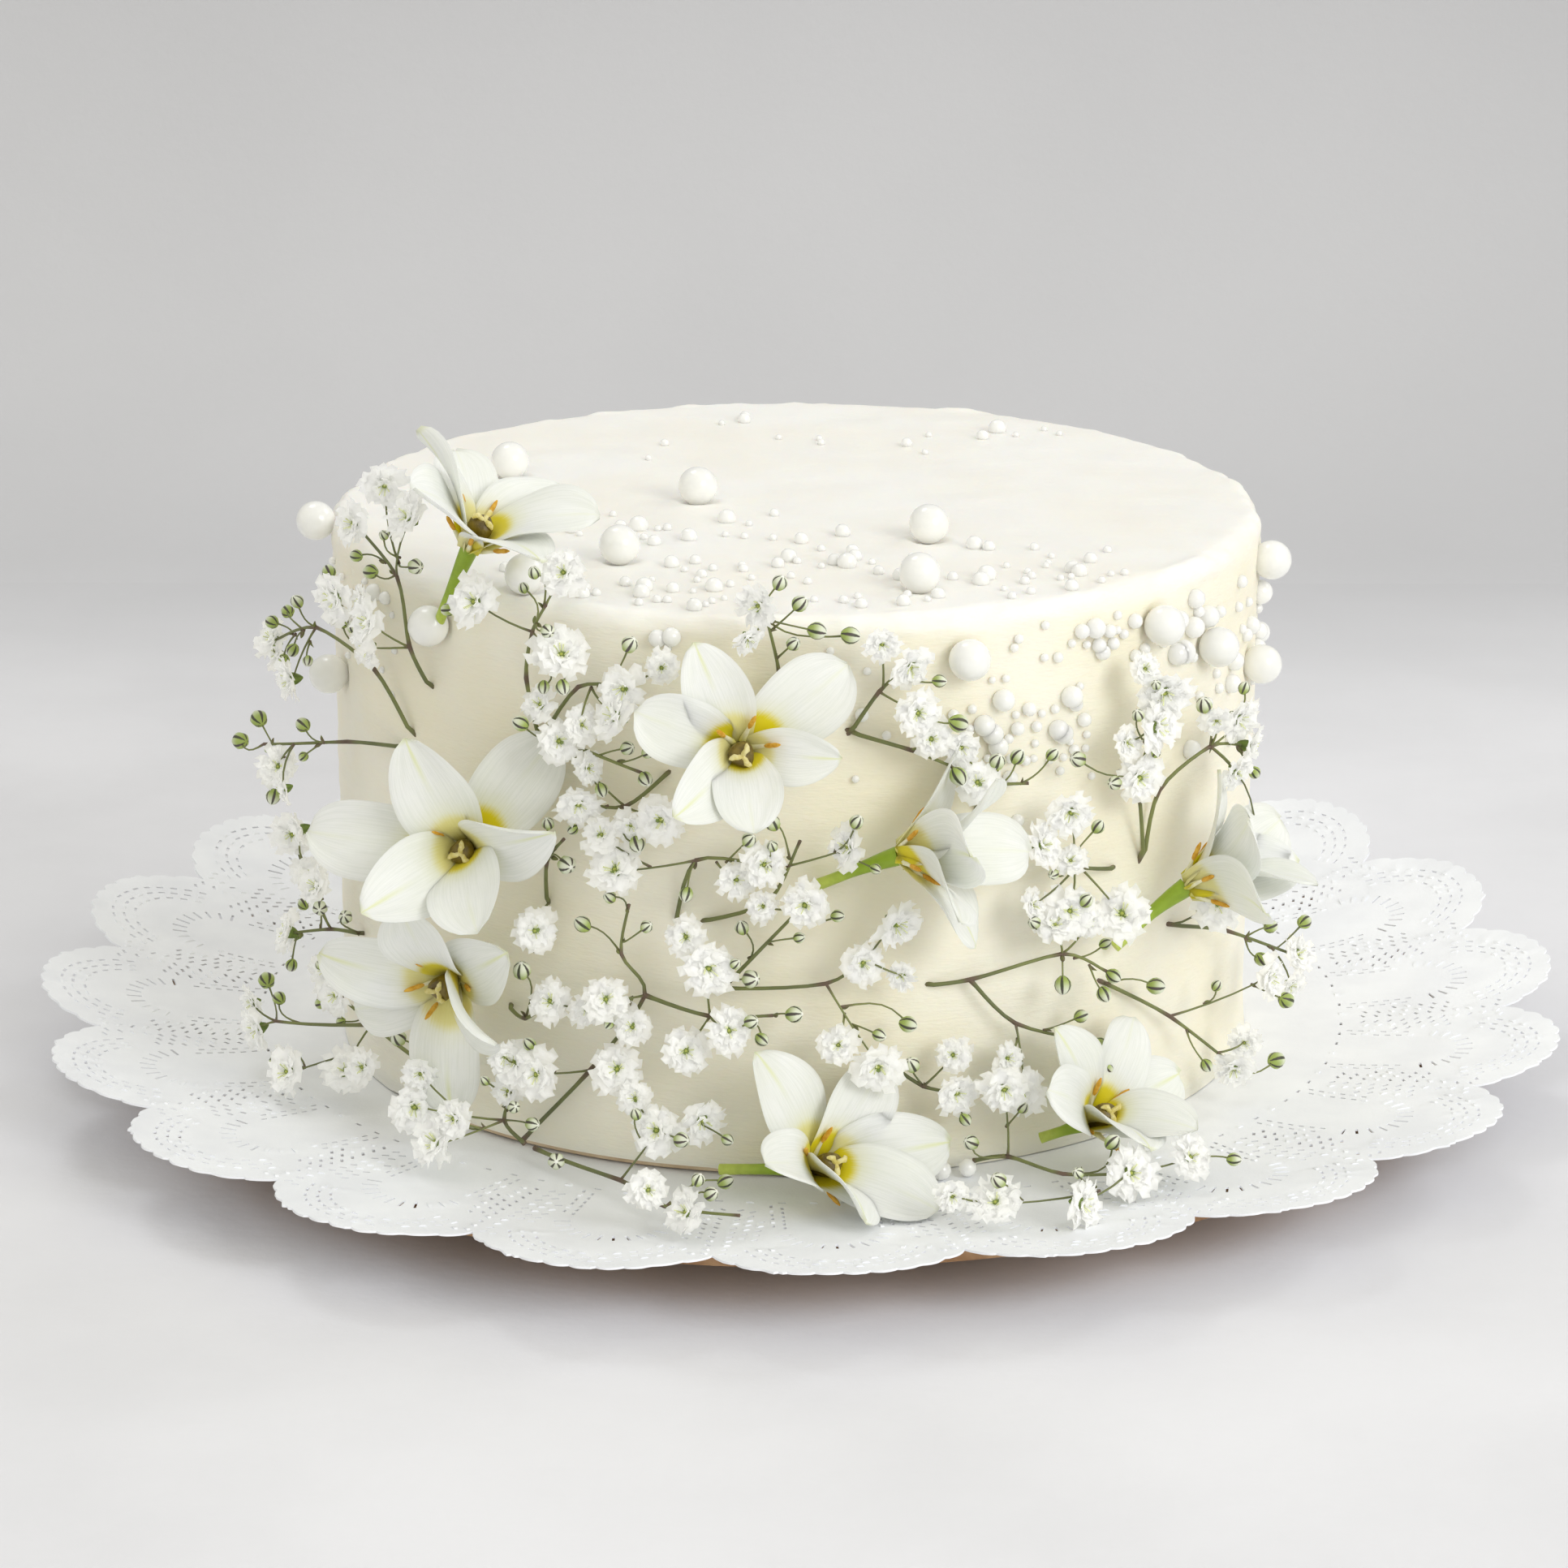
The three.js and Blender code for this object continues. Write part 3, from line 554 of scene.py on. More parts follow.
def icing_relief(x, y, z, side, top, turn):
    """How far the icing stands out at a point, in millimetres."""
    wide = noise.noise((x / 38, y / 38, z / 15))
    stroke = noise.noise((x / 30 + 7, y / 30, z / 2.6))
    smear = noise.noise((x / 5, y / 5, z / 34 + 3))
    swirl = noise.noise((x / 26, y / 9, 4.0))
    fine = noise.noise((x / 9, y / 9, z / 9 + 11))
    strokes = STROKE * stroke * abs(wide + 0.4)
    on_side = 0.3 * wide + strokes + SMEAR * smear * max(0, -wide + 0.3)
    on_top = 0.16 * wide + 0.14 * swirl + 0.05 * fine
    edge = 4 * side * top
    crumbs = noise.noise((x / 4.5, y / 4.5, z / 3 + 2))
    ragged = noise.noise((x / 12, y / 12, 9.0)) + 0.5 * crumbs
    lip = RIM_LIP * max(-LIP_HOLLOW, ragged + 0.1) * edge
    return side * (on_side + 0.05 * fine) + top * on_top + lip + side * icing_wave(turn, z)


def pits():
    """Small pits in the side: arc, height, radius and depth."""
    draw = seeded(PIT_SEED)
    return [(math.tau * CAKE_R * (draw() - 0.5), PIT_LOWEST + PIT_BAND * draw(),
             1.1 + 1.6 * draw(), 0.25 + 0.5 * draw()) for _ in range(PIT_COUNT)]


# %% [markdown]
# ## Where the pearls lie
# Sugar pearls of several sizes are scattered by hand: big ones singly, small ones in loose
# drifts, most of them at the right of the side. The big places are listed, and the small ones
# are drawn inside patches, by the same rule as in the solids. Then come finer beads that the
# solids leave out.

# %% Pearl places
# Places on the top are right and back from the middle, and places on the side are arc and
# height. A patch is its middle, its spread, how many pearls it has and their usual radius.
BIG_PEARL_R = 4.2
PEARL_SUNK = 0.8
BIG_ON_TOP = [[-63, 22], [-21, -2], [-36, -54], [28, -36], [25, -77], [-54, -78]]
BIG_ON_SIDE = [
    [34, 108], [81, 108], [101, 99], [140, 108], [129, 88], [-80, 108], [-146, 115],
    [-128, 86],
]
TOP_PATCHES = [
    ((-27, -28), (26, 12), 4, 1.7),
    ((-30, -78), (22, 15), 5, 1.5),
    ((12, -62), (26, 18), 4, 1.6),
    ((52, -62), (18, 22), 4, 1.6),
    ((20, 62), (45, 24), 3, 1.6),
]
SIDE_PATCHES = [
    ((42, 91), (9, 9), 5, 1.7),
    ((58, 91), (6, 7), 4, 1.7),
    ((66, 108), (16, 5), 4, 1.8),
    ((92, 103), (12, 8), 5, 2.2),
    ((138, 95), (14, 20), 5, 2.2),
    ((12, 96), (5, 13), 2, 1.6),
    ((-27, 113), (5, 2), 2, 1.5),
    ((-108, 104), (20, 14), 4, 1.5),
    ((-200, 95), (45, 16), 3, 1.8),
]
PEARL_SEED = 4201
SMALL_OUT = 0.4
SMALL_LEAST = 0.75
SMALL_SPREAD = 0.6
PEARL_ROOM = 1


def on_top(spot, lift):
    """A point over the cake's top."""
    return Vector((CAKE_X + spot[0], CAKE_Y + spot[1], CAKE_TOP + lift))


def on_side(spot, lift):
    """A point off the cake's side."""
    return beside((*spot, lift))


def big_pearl_places():
    """Centres of the big pearls, each sunk a little into the icing."""
    above = BIG_PEARL_R - PEARL_SUNK
    return [on_top(s, above) for s in BIG_ON_TOP] + [on_side(s, above) for s in BIG_ON_SIDE]


def small_pearls():
    """Centres and radii of the small pearls, clear of the big ones."""
    draw = seeded(PEARL_SEED)
    big = big_pearl_places()
    kept = []
    for patches, place in ((TOP_PATCHES, on_top), (SIDE_PATCHES, on_side)):
        for middle, spread, count, plain in patches:
            for _ in range(count):
                u = middle[0] + spread[0] * (draw() + draw() - 1)
                v = middle[1] + spread[1] * (draw() + draw() - 1)
                radius = plain * (SMALL_LEAST + SMALL_SPREAD * draw())
                centre = place((u, v), radius * SMALL_OUT)
                reach = BIG_PEARL_R + radius + PEARL_ROOM
                if all((pearl - centre).length > reach for pearl in big):
                    kept.append((centre, radius))
    return kept


# %% [markdown]
# Between the pearls lie beads down to a millimetre across. The solids leave them out, because
# they are too small to matter there, but the eye notices them. They are drawn in the same
# patches, a little more loosely and more often small than large, and a bead that would cut
# into a neighbour is left out.

# %% Finer beads
BEAD_SEED = 909
BEADS_PER_PEARL = 5
BEAD_LEAST = 0.5
BEAD_SPREAD = 0.65
BEAD_STRAY = 1.5
BEAD_ROOM = 0.9
BEADS_ON_TOP = [
    ((0, -84), (40, 9), 3, 1.7),
    ((-4, -48), (34, 20), 3, 1.9),
    ((46, -72), (20, 12), 2, 1.5),
]
BEADS_ON_SIDE = [
    ((50, 82), (20, 12), 3, 1.7),
    ((112, 96), (18, 16), 4, 2.1),
    ((30, 100), (24, 10), 2, 1.5),
]
FOOT_PEARLS = [((29.8, -101.7), 2.1), ((35.2, -99.9), 1.9)]


def fine_beads(taken):
    """Beads too small for the solids, drawn in the same patches."""
    draw = seeded(BEAD_SEED)
    kept = []
    for patches, place in ((TOP_PATCHES + BEADS_ON_TOP, on_top),
                           (SIDE_PATCHES + BEADS_ON_SIDE, on_side)):
        for middle, spread, count, plain in patches:
            for _ in range(count * BEADS_PER_PEARL):
                u = middle[0] + BEAD_STRAY * spread[0] * (draw() + draw() - 1)
                v = middle[1] + BEAD_STRAY * spread[1] * (draw() + draw() - 1)
                radius = plain * (BEAD_LEAST + BEAD_SPREAD * draw() ** 3)
                if place is on_top and math.hypot(u, v) > CAKE_R - EDGE_ROUND:
                    continue
                if place is on_side and v > CAKE_TALL - EDGE_ROUND:
                    continue
                centre = place((u, v), radius * SMALL_OUT)
                if all((c - centre).length > BEAD_ROOM * (r + radius) for c, r in taken + kept):
                    kept.append((centre, radius))
    return kept


big_places = big_pearl_places()
pearl_places = small_pearls()
BIG_CLEAR = 0.6
big_taken = [(centre, BIG_PEARL_R + BIG_CLEAR) for centre in big_places]
bead_places = fine_beads(big_taken + pearl_places)
for (x, y), radius in FOOT_PEARLS:
    lying = DOILY_FOOT + DOILY_THICK + radius
    bead_places.append((Vector((CAKE_X + x, CAKE_Y + y, lying)), radius))
print(len(big_places), "big pearls,", len(pearl_places), "small,", len(bead_places), "beads")


# %% [markdown]
# A pearl that is pushed into soft icing leaves a dent with a raised rim. At the foot the coat
# was drawn down over the card's edge, except at the front left, where the card shows. Both
# are worked out for each corner of the icing, so the pearls sit in the coat and not on it.

# %% Dents under the big pearls
DENT_WIDE = 3.4
DENT_DEEP = 0.9
DENT_RIM = 0.35
DENT_RIM_AT = 1.6
DENT_RIM_WIDE = 1.1


def dents(corner):
    """The icing is pressed in under each big pearl and swells a little round it."""
    moved = 0.0
    for centre in big_places:
        away = (corner - centre).length
        if away > 3 * BIG_PEARL_R:
            continue
        press = math.exp(-((max(0, away - BIG_PEARL_R + PEARL_SUNK) / DENT_WIDE) ** 2) * 4)
        ring = math.exp(-(((away - BIG_PEARL_R - DENT_RIM_AT) / DENT_RIM_WIDE) ** 2))
        moved += DENT_RIM * ring - DENT_DEEP * press
    return moved


# %% Foot of the coat
SKIRT_DROP = CAKE_FOOT - DOILY_FOOT - DOILY_THICK - 0.1
SKIRT_ROWS = 3
BARE_FROM = -60
BARE_TO = -2
BARE_EASE = 6
BARE_LIFT = 0.72


def skirt_drop(turn):
    """How far the coat was drawn down over the card's edge. At the front left it is bare."""
    arc = math.degrees((turn + math.pi) % math.tau - math.pi)
    inside = min(arc - BARE_FROM, BARE_TO - arc)
    ragged = 5 * noise.noise((math.sin(turn) * 9, math.cos(turn) * 9, 1.0))
    bare = min(1.0, max(0.0, (inside + ragged) / BARE_EASE))
    return SKIRT_DROP * (1 - BARE_LIFT * bare)


# %% Icing mesh
PIT_REACH = 6


def icing_mesh(material):
    """The coat: rings of corners up the side and over the top, closed at both ends."""
    pressed = pits()
    corners = []
    profile = icing_profile()
    for row, (radius, height, side, top) in enumerate(profile):
        for i in range(ICING_COLUMNS):
            turn = math.tau * i / ICING_COLUMNS
            x, y = math.sin(turn), -math.cos(turn)
            out = icing_relief(x * radius, y * radius, height, side, top, turn)
            if 0 < row < SKIRT_ROWS:
                corners.append((CAKE_X + x * radius, CAKE_Y + y * radius,
                                CAKE_FOOT - skirt_drop(turn)))
                continue
            if side > 0.5:
                arc = CAKE_R * ((turn + math.pi) % math.tau - math.pi)
                for where, up, wide, deep in pressed:
                    near = ((arc - where) ** 2 + (height - up) ** 2) / wide ** 2
                    if near < PIT_REACH:
                        out -= deep * math.exp(-near)
            corner = Vector((
                CAKE_X + x * (radius + side * out),
                CAKE_Y + y * (radius + side * out),
                CAKE_FOOT + height + top * out,
            ))
            dent = dents(corner)
            corners.append((corner.x + x * side * dent, corner.y + y * side * dent,
                            corner.z + top * dent))
    faces = ring_faces(len(profile), ICING_COLUMNS)
    middle, under = len(corners), len(corners) + 1
    last = middle - ICING_COLUMNS
    corners.append((CAKE_X, CAKE_Y, CAKE_TOP + 0.1))
    corners.append((CAKE_X, CAKE_Y, CAKE_FOOT))
    for i in range(ICING_COLUMNS):
        j = (i + 1) % ICING_COLUMNS
        faces.append((last + i, last + j, middle))
        faces.append((j, i, under))
    parts = Parts()
    parts.add(corners, faces)
    return parts.mesh("cake_icing", [material], crease=70)


# %% [markdown]
# Butter icing is a warm cream. Its side is painted a yellower cream as painted shade, and its
# nearly white top is painted light from the sky. The finish blends the two shades by height,
# mottles both, and lets a little light travel under the surface, which is what makes icing
# look soft.

# %% Icing finish
PAINTED_TOP_LIGHT_FROM = 0.124
PAINTED_TOP_LIGHT_TO = 0.131


def icing_finish():
    """Butter icing, with a cream side in painted shade and a whiter top in painted light."""
    material, tree, shader = finish(
        "butter icing", 0.46, Subsurface_Weight=0.25, Subsurface_Scale=0.004,
        Subsurface_Radius=(1.0, 0.75, 0.45), Specular_IOR_Level=0.35)
    # Painted shade and light: the side is a yellower cream as painted shade, and the top is
    # whiter as painted light from the sky.
    side = blend(tree, mottled(tree, 32), (246, 242, 227), (245, 239, 217))
    top = blend(tree, mottled(tree, 32), (248, 247, 243), (247, 244, 236))
    height = put(tree, "ShaderNodeSeparateXYZ", {0: object_place(tree)}).outputs[2]
    share = between(tree, height, PAINTED_TOP_LIGHT_FROM, PAINTED_TOP_LIGHT_TO)
    tinted(tree, shader, blend(tree, share, side, top))
    rough = put(tree, "ShaderNodeMapRange", {
        "Value": mottled(tree, 90), "To Min": 0.4, "To Max": 0.58})
    tree.links.new(rough.outputs["Result"], shader.inputs["Roughness"])
    relieved(tree, shader, 520, 0.16, (1, 1, 4.5), 1.4, 0.8)
    return material


ICING = icing_finish()
show("cake_icing", icing_mesh(ICING), "icing", "cake")

# %% [markdown]
# ## Pearls
# A sugar pearl is a hard round bead with a satin shine. A sphere from even triangles has no
# poles to pinch the highlight, and the copies tree sets it down at every place. The finest
# beads get fewer faces, since hundreds of them are only a few pixels wide. Bright icing
# throws light back into each pearl from below, and a very faint glow stands for that.


# %% Pearl shapes and finish
def ball(subdivisions, name):
    """A sphere of even triangles with a radius of one millimetre."""
    shape = bmesh.new()
    bmesh.ops.create_icosphere(shape, subdivisions=subdivisions, radius=MM)
    mesh = bpy.data.meshes.new(name)
    shape.to_mesh(mesh)
    shape.free()
    mesh.shade_smooth()
    return mesh


def pearl_finish():
    """Hard white sugar under a thin satin coat, with a painted sheen towards the rim and a
    faint painted glow.
    """
    material, tree, shader = finish(
        "sugar pearl", 0.34, Coat_Weight=0.8, Coat_Roughness=0.1, Coat_IOR=1.5,
        Subsurface_Weight=0.7, Subsurface_Scale=0.003, Subsurface_Radius=(1.0, 1.0, 0.95),
        Specular_IOR_Level=0.5, Emission_Strength=0.07)
    # Painted sheen: the colour grows lighter and warmer towards the rim, by the Facing weight.
    edge = put(tree, "ShaderNodeLayerWeight", {"Blend": 0.35}).outputs["Facing"]
    warm = blend(tree, edge, (234, 234, 231), (240, 239, 232))
    tint = blend(tree, mottled(tree, 260), warm, (230, 230, 227))
    tinted(tree, shader, tint)
    # Painted light: the same colour glows faintly, standing for light thrown back from the
    # icing.
    tree.links.new(tint, shader.inputs["Emission Color"])
    relieved(tree, shader, 1800, 0.01, strength=0.4)
    return material


PEARL = pearl_finish()


def pearl_mesh(places, subdivisions, name):
    """One mesh of pearls from their centres and radii."""
    store = shape_store(name + "_shape", [ball(subdivisions, name)])
    many = len(places)
    made = copies([centre for centre, _ in places], [(0, 0, 0)] * many,
                  [radius for _, radius in places], [0] * many, store, PEARL)
    made.name = name
    return made


show("large_pearls", pearl_mesh([(c, BIG_PEARL_R) for c in big_places], 4, "large_pearls"),
     "sugar_pearl", *[f"pearl_{i + 1}" for i in range(len(big_places))])
show("small_pearls", pearl_mesh(pearl_places, 3, "small_pearls"), "sugar_pearl")
show("fine_beads", pearl_mesh(bead_places, 2, "fine_beads"), "sugar_pearl")

# %% [markdown]
# ## Board and card
# Under the doily is a kraft board with a bevelled underside, and under the cake a thin card.
# Both are turned shapes with a slightly eased edge. Their brown fibre shows only in slivers,
# but it gives the paper above it its warm shade.


# %% Turned discs
DISC_SIDES = 160


def turned_mesh(name, profile, material, middle=(0, 0)):
    """A closed turned form from radius and height pairs, listed from the bottom up."""
    corners = []
    ring = [pair for pair in profile if pair[0] > 0]
    for radius, height in ring:
        for i in range(DISC_SIDES):
            turn = math.tau * i / DISC_SIDES
            corners.append((middle[0] + radius * math.sin(turn),
                            middle[1] - radius * math.cos(turn), height))
    faces = ring_faces(len(ring), DISC_SIDES)
    under, over = len(corners), len(corners) + 1
    last = under - DISC_SIDES
    corners.append((*middle, profile[0][1]))
    corners.append((*middle, profile[-1][1]))
    for i in range(DISC_SIDES):
        j = (i + 1) % DISC_SIDES
        faces.append((j, i, under))
        faces.append((last + i, last + j, over))
    parts = Parts()
    parts.add(corners, faces)
    return parts.mesh(name, [material], crease=40)


def fibre_finish(name, dark, light):
    """Pressed paper fibre between two shades."""
    return two_tone(name, 0.86, dark, light, 180, 1400, 0.08, detail=6, stretch=(1, 1, 0.3))


BOARD_EASE = 0.5
CARD_EASE = 0.3
KRAFT = fibre_finish("kraft board", (160, 120, 84), (196, 158, 118))
CARD = fibre_finish("cake card", (206, 182, 150), (226, 206, 176))
board_profile = [
    (0, 0), (BOARD_FOOT_R - BOARD_EASE, 0), (BOARD_FOOT_R, BOARD_EASE / 2),
    (BOARD_R - BOARD_EASE, BOARD_TALL - BOARD_EDGE - BOARD_EASE / 2),
    (BOARD_R, BOARD_TALL - BOARD_EDGE + BOARD_EASE),
    (BOARD_R, BOARD_TALL - BOARD_EASE), (BOARD_R - BOARD_EASE, BOARD_TALL), (0, BOARD_TALL),
]
card_profile = [
    (0, CARD_FOOT), (CARD_R - CARD_EASE, CARD_FOOT), (CARD_R, CARD_FOOT + CARD_EASE),
    (CARD_R, CARD_FOOT + CARD_THICK - CARD_EASE), (CARD_R - CARD_EASE, CARD_FOOT + CARD_THICK),
    (0, CARD_FOOT + CARD_THICK),
]
show("kraft_board", turned_mesh("kraft_board", board_profile, KRAFT), "kraft_board", "board")
show("card_disc", turned_mesh("card_disc", card_profile, CARD, (CAKE_X, CAKE_Y)),
     "cake_card", "cake_card")

# %% [markdown]
# ## Paper lace doily
# A doily is punched from thin paper: twenty round lobes with a pinked edge, rows of small
# slots that follow each lobe, a fan of slits, and plain arched panels between lattice strips.
# One twentieth of a turn is drawn flat with real holes, split into triangles round them, and
# Geometry Nodes repeats it and lifts the border as the solid does.

# %% One lobe, drawn flat
LOBE_LEAD = 2.7
LOBE_FULLNESS = 2.3
HALF_LOBE = math.pi / DOILY_LOBES
PINKS = 10
PINK_DEEP = 1.1
EDGE_ROUGH = 0.8
LOBE_MIDDLE = 147


def lobe_reach(across):
    """The doily's edge, across from -0.5 to 0.5 of a lobe, with its pinked nicks."""
    plain = 1 - abs(2 * across) ** LOBE_FULLNESS
    reach = DOILY_NOTCH_R + (DOILY_TIP_R - DOILY_NOTCH_R) * plain
    pink = abs(math.sin(math.pi * PINKS * (across + 0.5)))
    rough = EDGE_ROUGH * math.sin(math.pi * 2 * across) * noise.noise((across * 41, 5.0, 2.0))
    return reach + PINK_DEEP * (pink ** 0.6 - 0.7) + rough


def slot_hole(x, y, long, wide, turn):
    """The four corners of a slot. turn is the direction of its long side."""
    along = (math.cos(turn) * long / 2, math.sin(turn) * long / 2)
    aside = (-math.sin(turn) * wide / 2, math.cos(turn) * wide / 2)
    return [(x + a * along[0] + b * aside[0], y + a * along[1] + b * aside[1])
            for a, b in ((-1, -1), (1, -1), (1, 1), (-1, 1))]


# %% The slots of the lace
# Each arc of slots has a middle on the lobe's axis, a radius, the angle that it spans, a
# count, the length of a slot, and whether its long side lies across the arc.
SLOT_WIDE = 0.6
SLOT_ARCS = [
    (LOBE_MIDDLE, 18.4, math.radians(160), 15, 1.7, False),
    (LOBE_MIDDLE, 15.9, math.radians(160), 14, 1.7, False),
    (LOBE_MIDDLE, 13.4, math.radians(160), 11, 1.7, False),
    (139, 10.6, math.radians(168), 11, 3.4, True),
]
INNER_RING = (0, 121.2, 2 * HALF_LOBE, 6, 1.6, False)
SEAM_ROOM = 1.1
PANEL_SIDES = ((9.6, 136.4), (11.8, 135.2))
PANEL_STEP = 2.5
PANEL_SLOT = 1.3
LATTICE_START = 124
LATTICE_STEP = 2.9
LATTICE_INSETS = (1.7, 4.1, 6.5)
LATTICE_SLOT = (1.5, 0.65)
LATTICE_LEAST = 13.9
LATTICE_CLEAR = 20.6
LATTICE_CLEAR_LOW = 15.6
LATTICE_BEND = 143


def lace_holes():
    """Every slot of a lobe, kept off the seam between two lobes."""
    holes = []

    def add(x, y, long, wide, turn):
        if abs(math.atan2(x, y)) < HALF_LOBE - SEAM_ROOM / math.hypot(x, y):
            holes.append(slot_hole(x, y, long, wide, turn))

    def add_arc(middle, radius, fan, count, long, crosswise):
        for i in range(count):
            angle = fan * ((i + 0.5) / count - 0.5)
            add(radius * math.sin(angle), middle + radius * math.cos(angle), long, SLOT_WIDE,
                math.pi / 2 - angle if crosswise else -angle)

    for arc in SLOT_ARCS:
        add_arc(*arc)
    for side in (-1, 1):
        for i in range(6):
            for x, y in PANEL_SIDES:
                add(side * x, y - PANEL_STEP * i, PANEL_SLOT, SLOT_WIDE, math.pi / 2)
        for i in range(11):
            y = LATTICE_START + LATTICE_STEP * i
            edge = y * math.tan(HALF_LOBE)
            clear = LATTICE_CLEAR_LOW if y < LATTICE_BEND else LATTICE_CLEAR
            for inset in LATTICE_INSETS:
                x = edge - inset
                if x > LATTICE_LEAST and math.hypot(x, y - LOBE_MIDDLE) > clear:
                    add(side * x, y + 0.4 * inset, *LATTICE_SLOT, side * 0.5)
    add_arc(*INNER_RING)
    return holes


# %% [markdown]
# A flat outline with holes is split into triangles by a Delaunay rule, which also takes loose
# points, so that the sheet can bend later. About a quarter of the slots were pressed but not
# punched through on a real doily. Here they stay closed and rise a little.

# %% Splitting the lobe into triangles
SHEET_START = 104
RING_STEP = 5.0
BEND_COLUMNS = 9
PRESSED_SHARE = 0.28
PRESSED_RISE = 0.35
PRESSED_INNER = 0.5
PRESSED_SEED = 515


def shrunk(hole, share):
    """A slot's corners drawn in towards its middle."""
    x, y = (sum(corner[k] for corner in hole) / 4 for k in (0, 1))
    return [(x + (cx - x) * share, y + (cy - y) * share) for cx, cy in hole]


def inside(point, hole):
    """Whether a point is within a slot, or hardly outside it."""
    x, y = (sum(corner[k] for corner in hole) / 4 for k in (0, 1))
    reach = max(math.hypot(cx - x, cy - y) for cx, cy in hole)
    return math.hypot(point[0] - x, point[1] - y) < reach + 0.5


def fan_point(radius, turn):
    """A point from its distance and its turn away from the lobe's axis."""
    return radius * math.sin(turn), radius * math.cos(turn)


def lobe_outline():
    """The outline of one lobe: the doily's middle, two straight seams and the pinked edge."""
    rings = list(np.arange(SHEET_START, DOILY_NOTCH_R - 3, RING_STEP))
    steps = PINKS * 6
    left = [fan_point(r, -HALF_LOBE) for r in rings]
    right = [fan_point(r, HALF_LOBE) for r in reversed(rings)]
    edge = [fan_point(lobe_reach(i / steps - 0.5), 2 * HALF_LOBE * (i / steps - 0.5))
            for i in range(steps + 1)]
    return [(0.0, 0.0), *left, *edge, *right][::-1]


# %% The lobe as a sheet
def lobe_sheet():
    """Corners and triangles of one lobe, laid flat round the doily's middle."""
    outline = lobe_outline()
    holes = lace_holes()
    points = list(outline)
    loops = [list(range(len(outline)))]
    edges, raised = [], set()
    draw = seeded(PRESSED_SEED)
    for hole in holes:
        first = len(points)
        points.extend(hole)
        if draw() > PRESSED_SHARE:
            loops.append(list(range(first, first + 4)))
            continue
        points.extend(shrunk(hole, PRESSED_INNER))
        raised.update(range(first + 4, first + 8))
        for ring in (first, first + 4):
            edges.extend((ring + k, ring + (k + 1) % 4) for k in range(4))
    for radius in np.arange(SHEET_START, DOILY_TIP_R - 4, RING_STEP * 0.6):
        for i in range(1, BEND_COLUMNS):
            across = i / BEND_COLUMNS - 0.5
            spot = fan_point(radius, 2 * HALF_LOBE * across)
            if radius < lobe_reach(across) - 2 and not any(inside(spot, h) for h in holes):
                points.append(spot)
    found = delaunay_2d_cdt([Vector(p) for p in points], edges, loops, 1, 1e-4)
    flat, triangles, sources, owners = found[0], found[2], found[3], found[5]
    corners = [(x, y, PRESSED_RISE if raised.intersection(source) else 0.0)
               for (x, y), source in zip(flat, sources)]
    kept = [tri for tri, owner in zip(triangles, owners) if list(owner) == [0]]
    return corners, kept, len(loops) - 1


lobe_corners, lobe_triangles, open_slots = lobe_sheet()
print("open slots in a lobe", open_slots, "triangles", len(lobe_triangles))

# %% [markdown]
# The twenty lobes are one lobe turned round the middle, which is a rule, so a tree of nodes
# follows it. The same tree lifts the border: flat as far as the board reaches, then rising
# in a curve, more at the back than at the front, with a slow wave round it.

# %% Tree that repeats the lobe round the middle and lifts the border
BORDER_LIFT = 8.5
BORDER_LEAN = 4.2
BORDER_WAVE = 1.2
BORDER_WAVES = 3.0
WAVE_PHASE = 0.8
LIFT_CURVE = 1.6
SEAM_MERGE = 0.00002
LIFT_SOCKETS = ("Flat Radius", "Tip Radius", "Lift", "Lean", "Wave", "Phase", "Curve")


def border_rise(tree, given):
    """How far the paper is lifted at a point, as a tree of Math nodes."""
    def step(operation, a, b=0.0):
        return sums(tree, operation, a, b)

    place = put(tree, "ShaderNodeSeparateXYZ", {
        0: tree.nodes.new("GeometryNodeInputPosition").outputs[0]})
    x, y = place.outputs[0], place.outputs[1]
    radius = step("SQRT", step("ADD", step("MULTIPLY", x, x), step("MULTIPLY", y, y)))
    bearing = step("ARCTAN2", x, step("MULTIPLY", y, -1.0))
    run = step("SUBTRACT", given["Tip Radius"], given["Flat Radius"])
    beyond = step("SUBTRACT", radius, given["Flat Radius"])
    share = step("MAXIMUM", step("DIVIDE", beyond, run), 0.0)
    lean = step("MULTIPLY", given["Lean"], step("COSINE", bearing))
    swing = step("ADD", step("MULTIPLY", bearing, BORDER_WAVES), given["Phase"])
    wave = step("MULTIPLY", given["Wave"], step("SINE", swing))
    rise = step("ADD", step("SUBTRACT", given["Lift"], lean), wave)
    return step("MULTIPLY", rise, step("POWER", share, given["Curve"]))


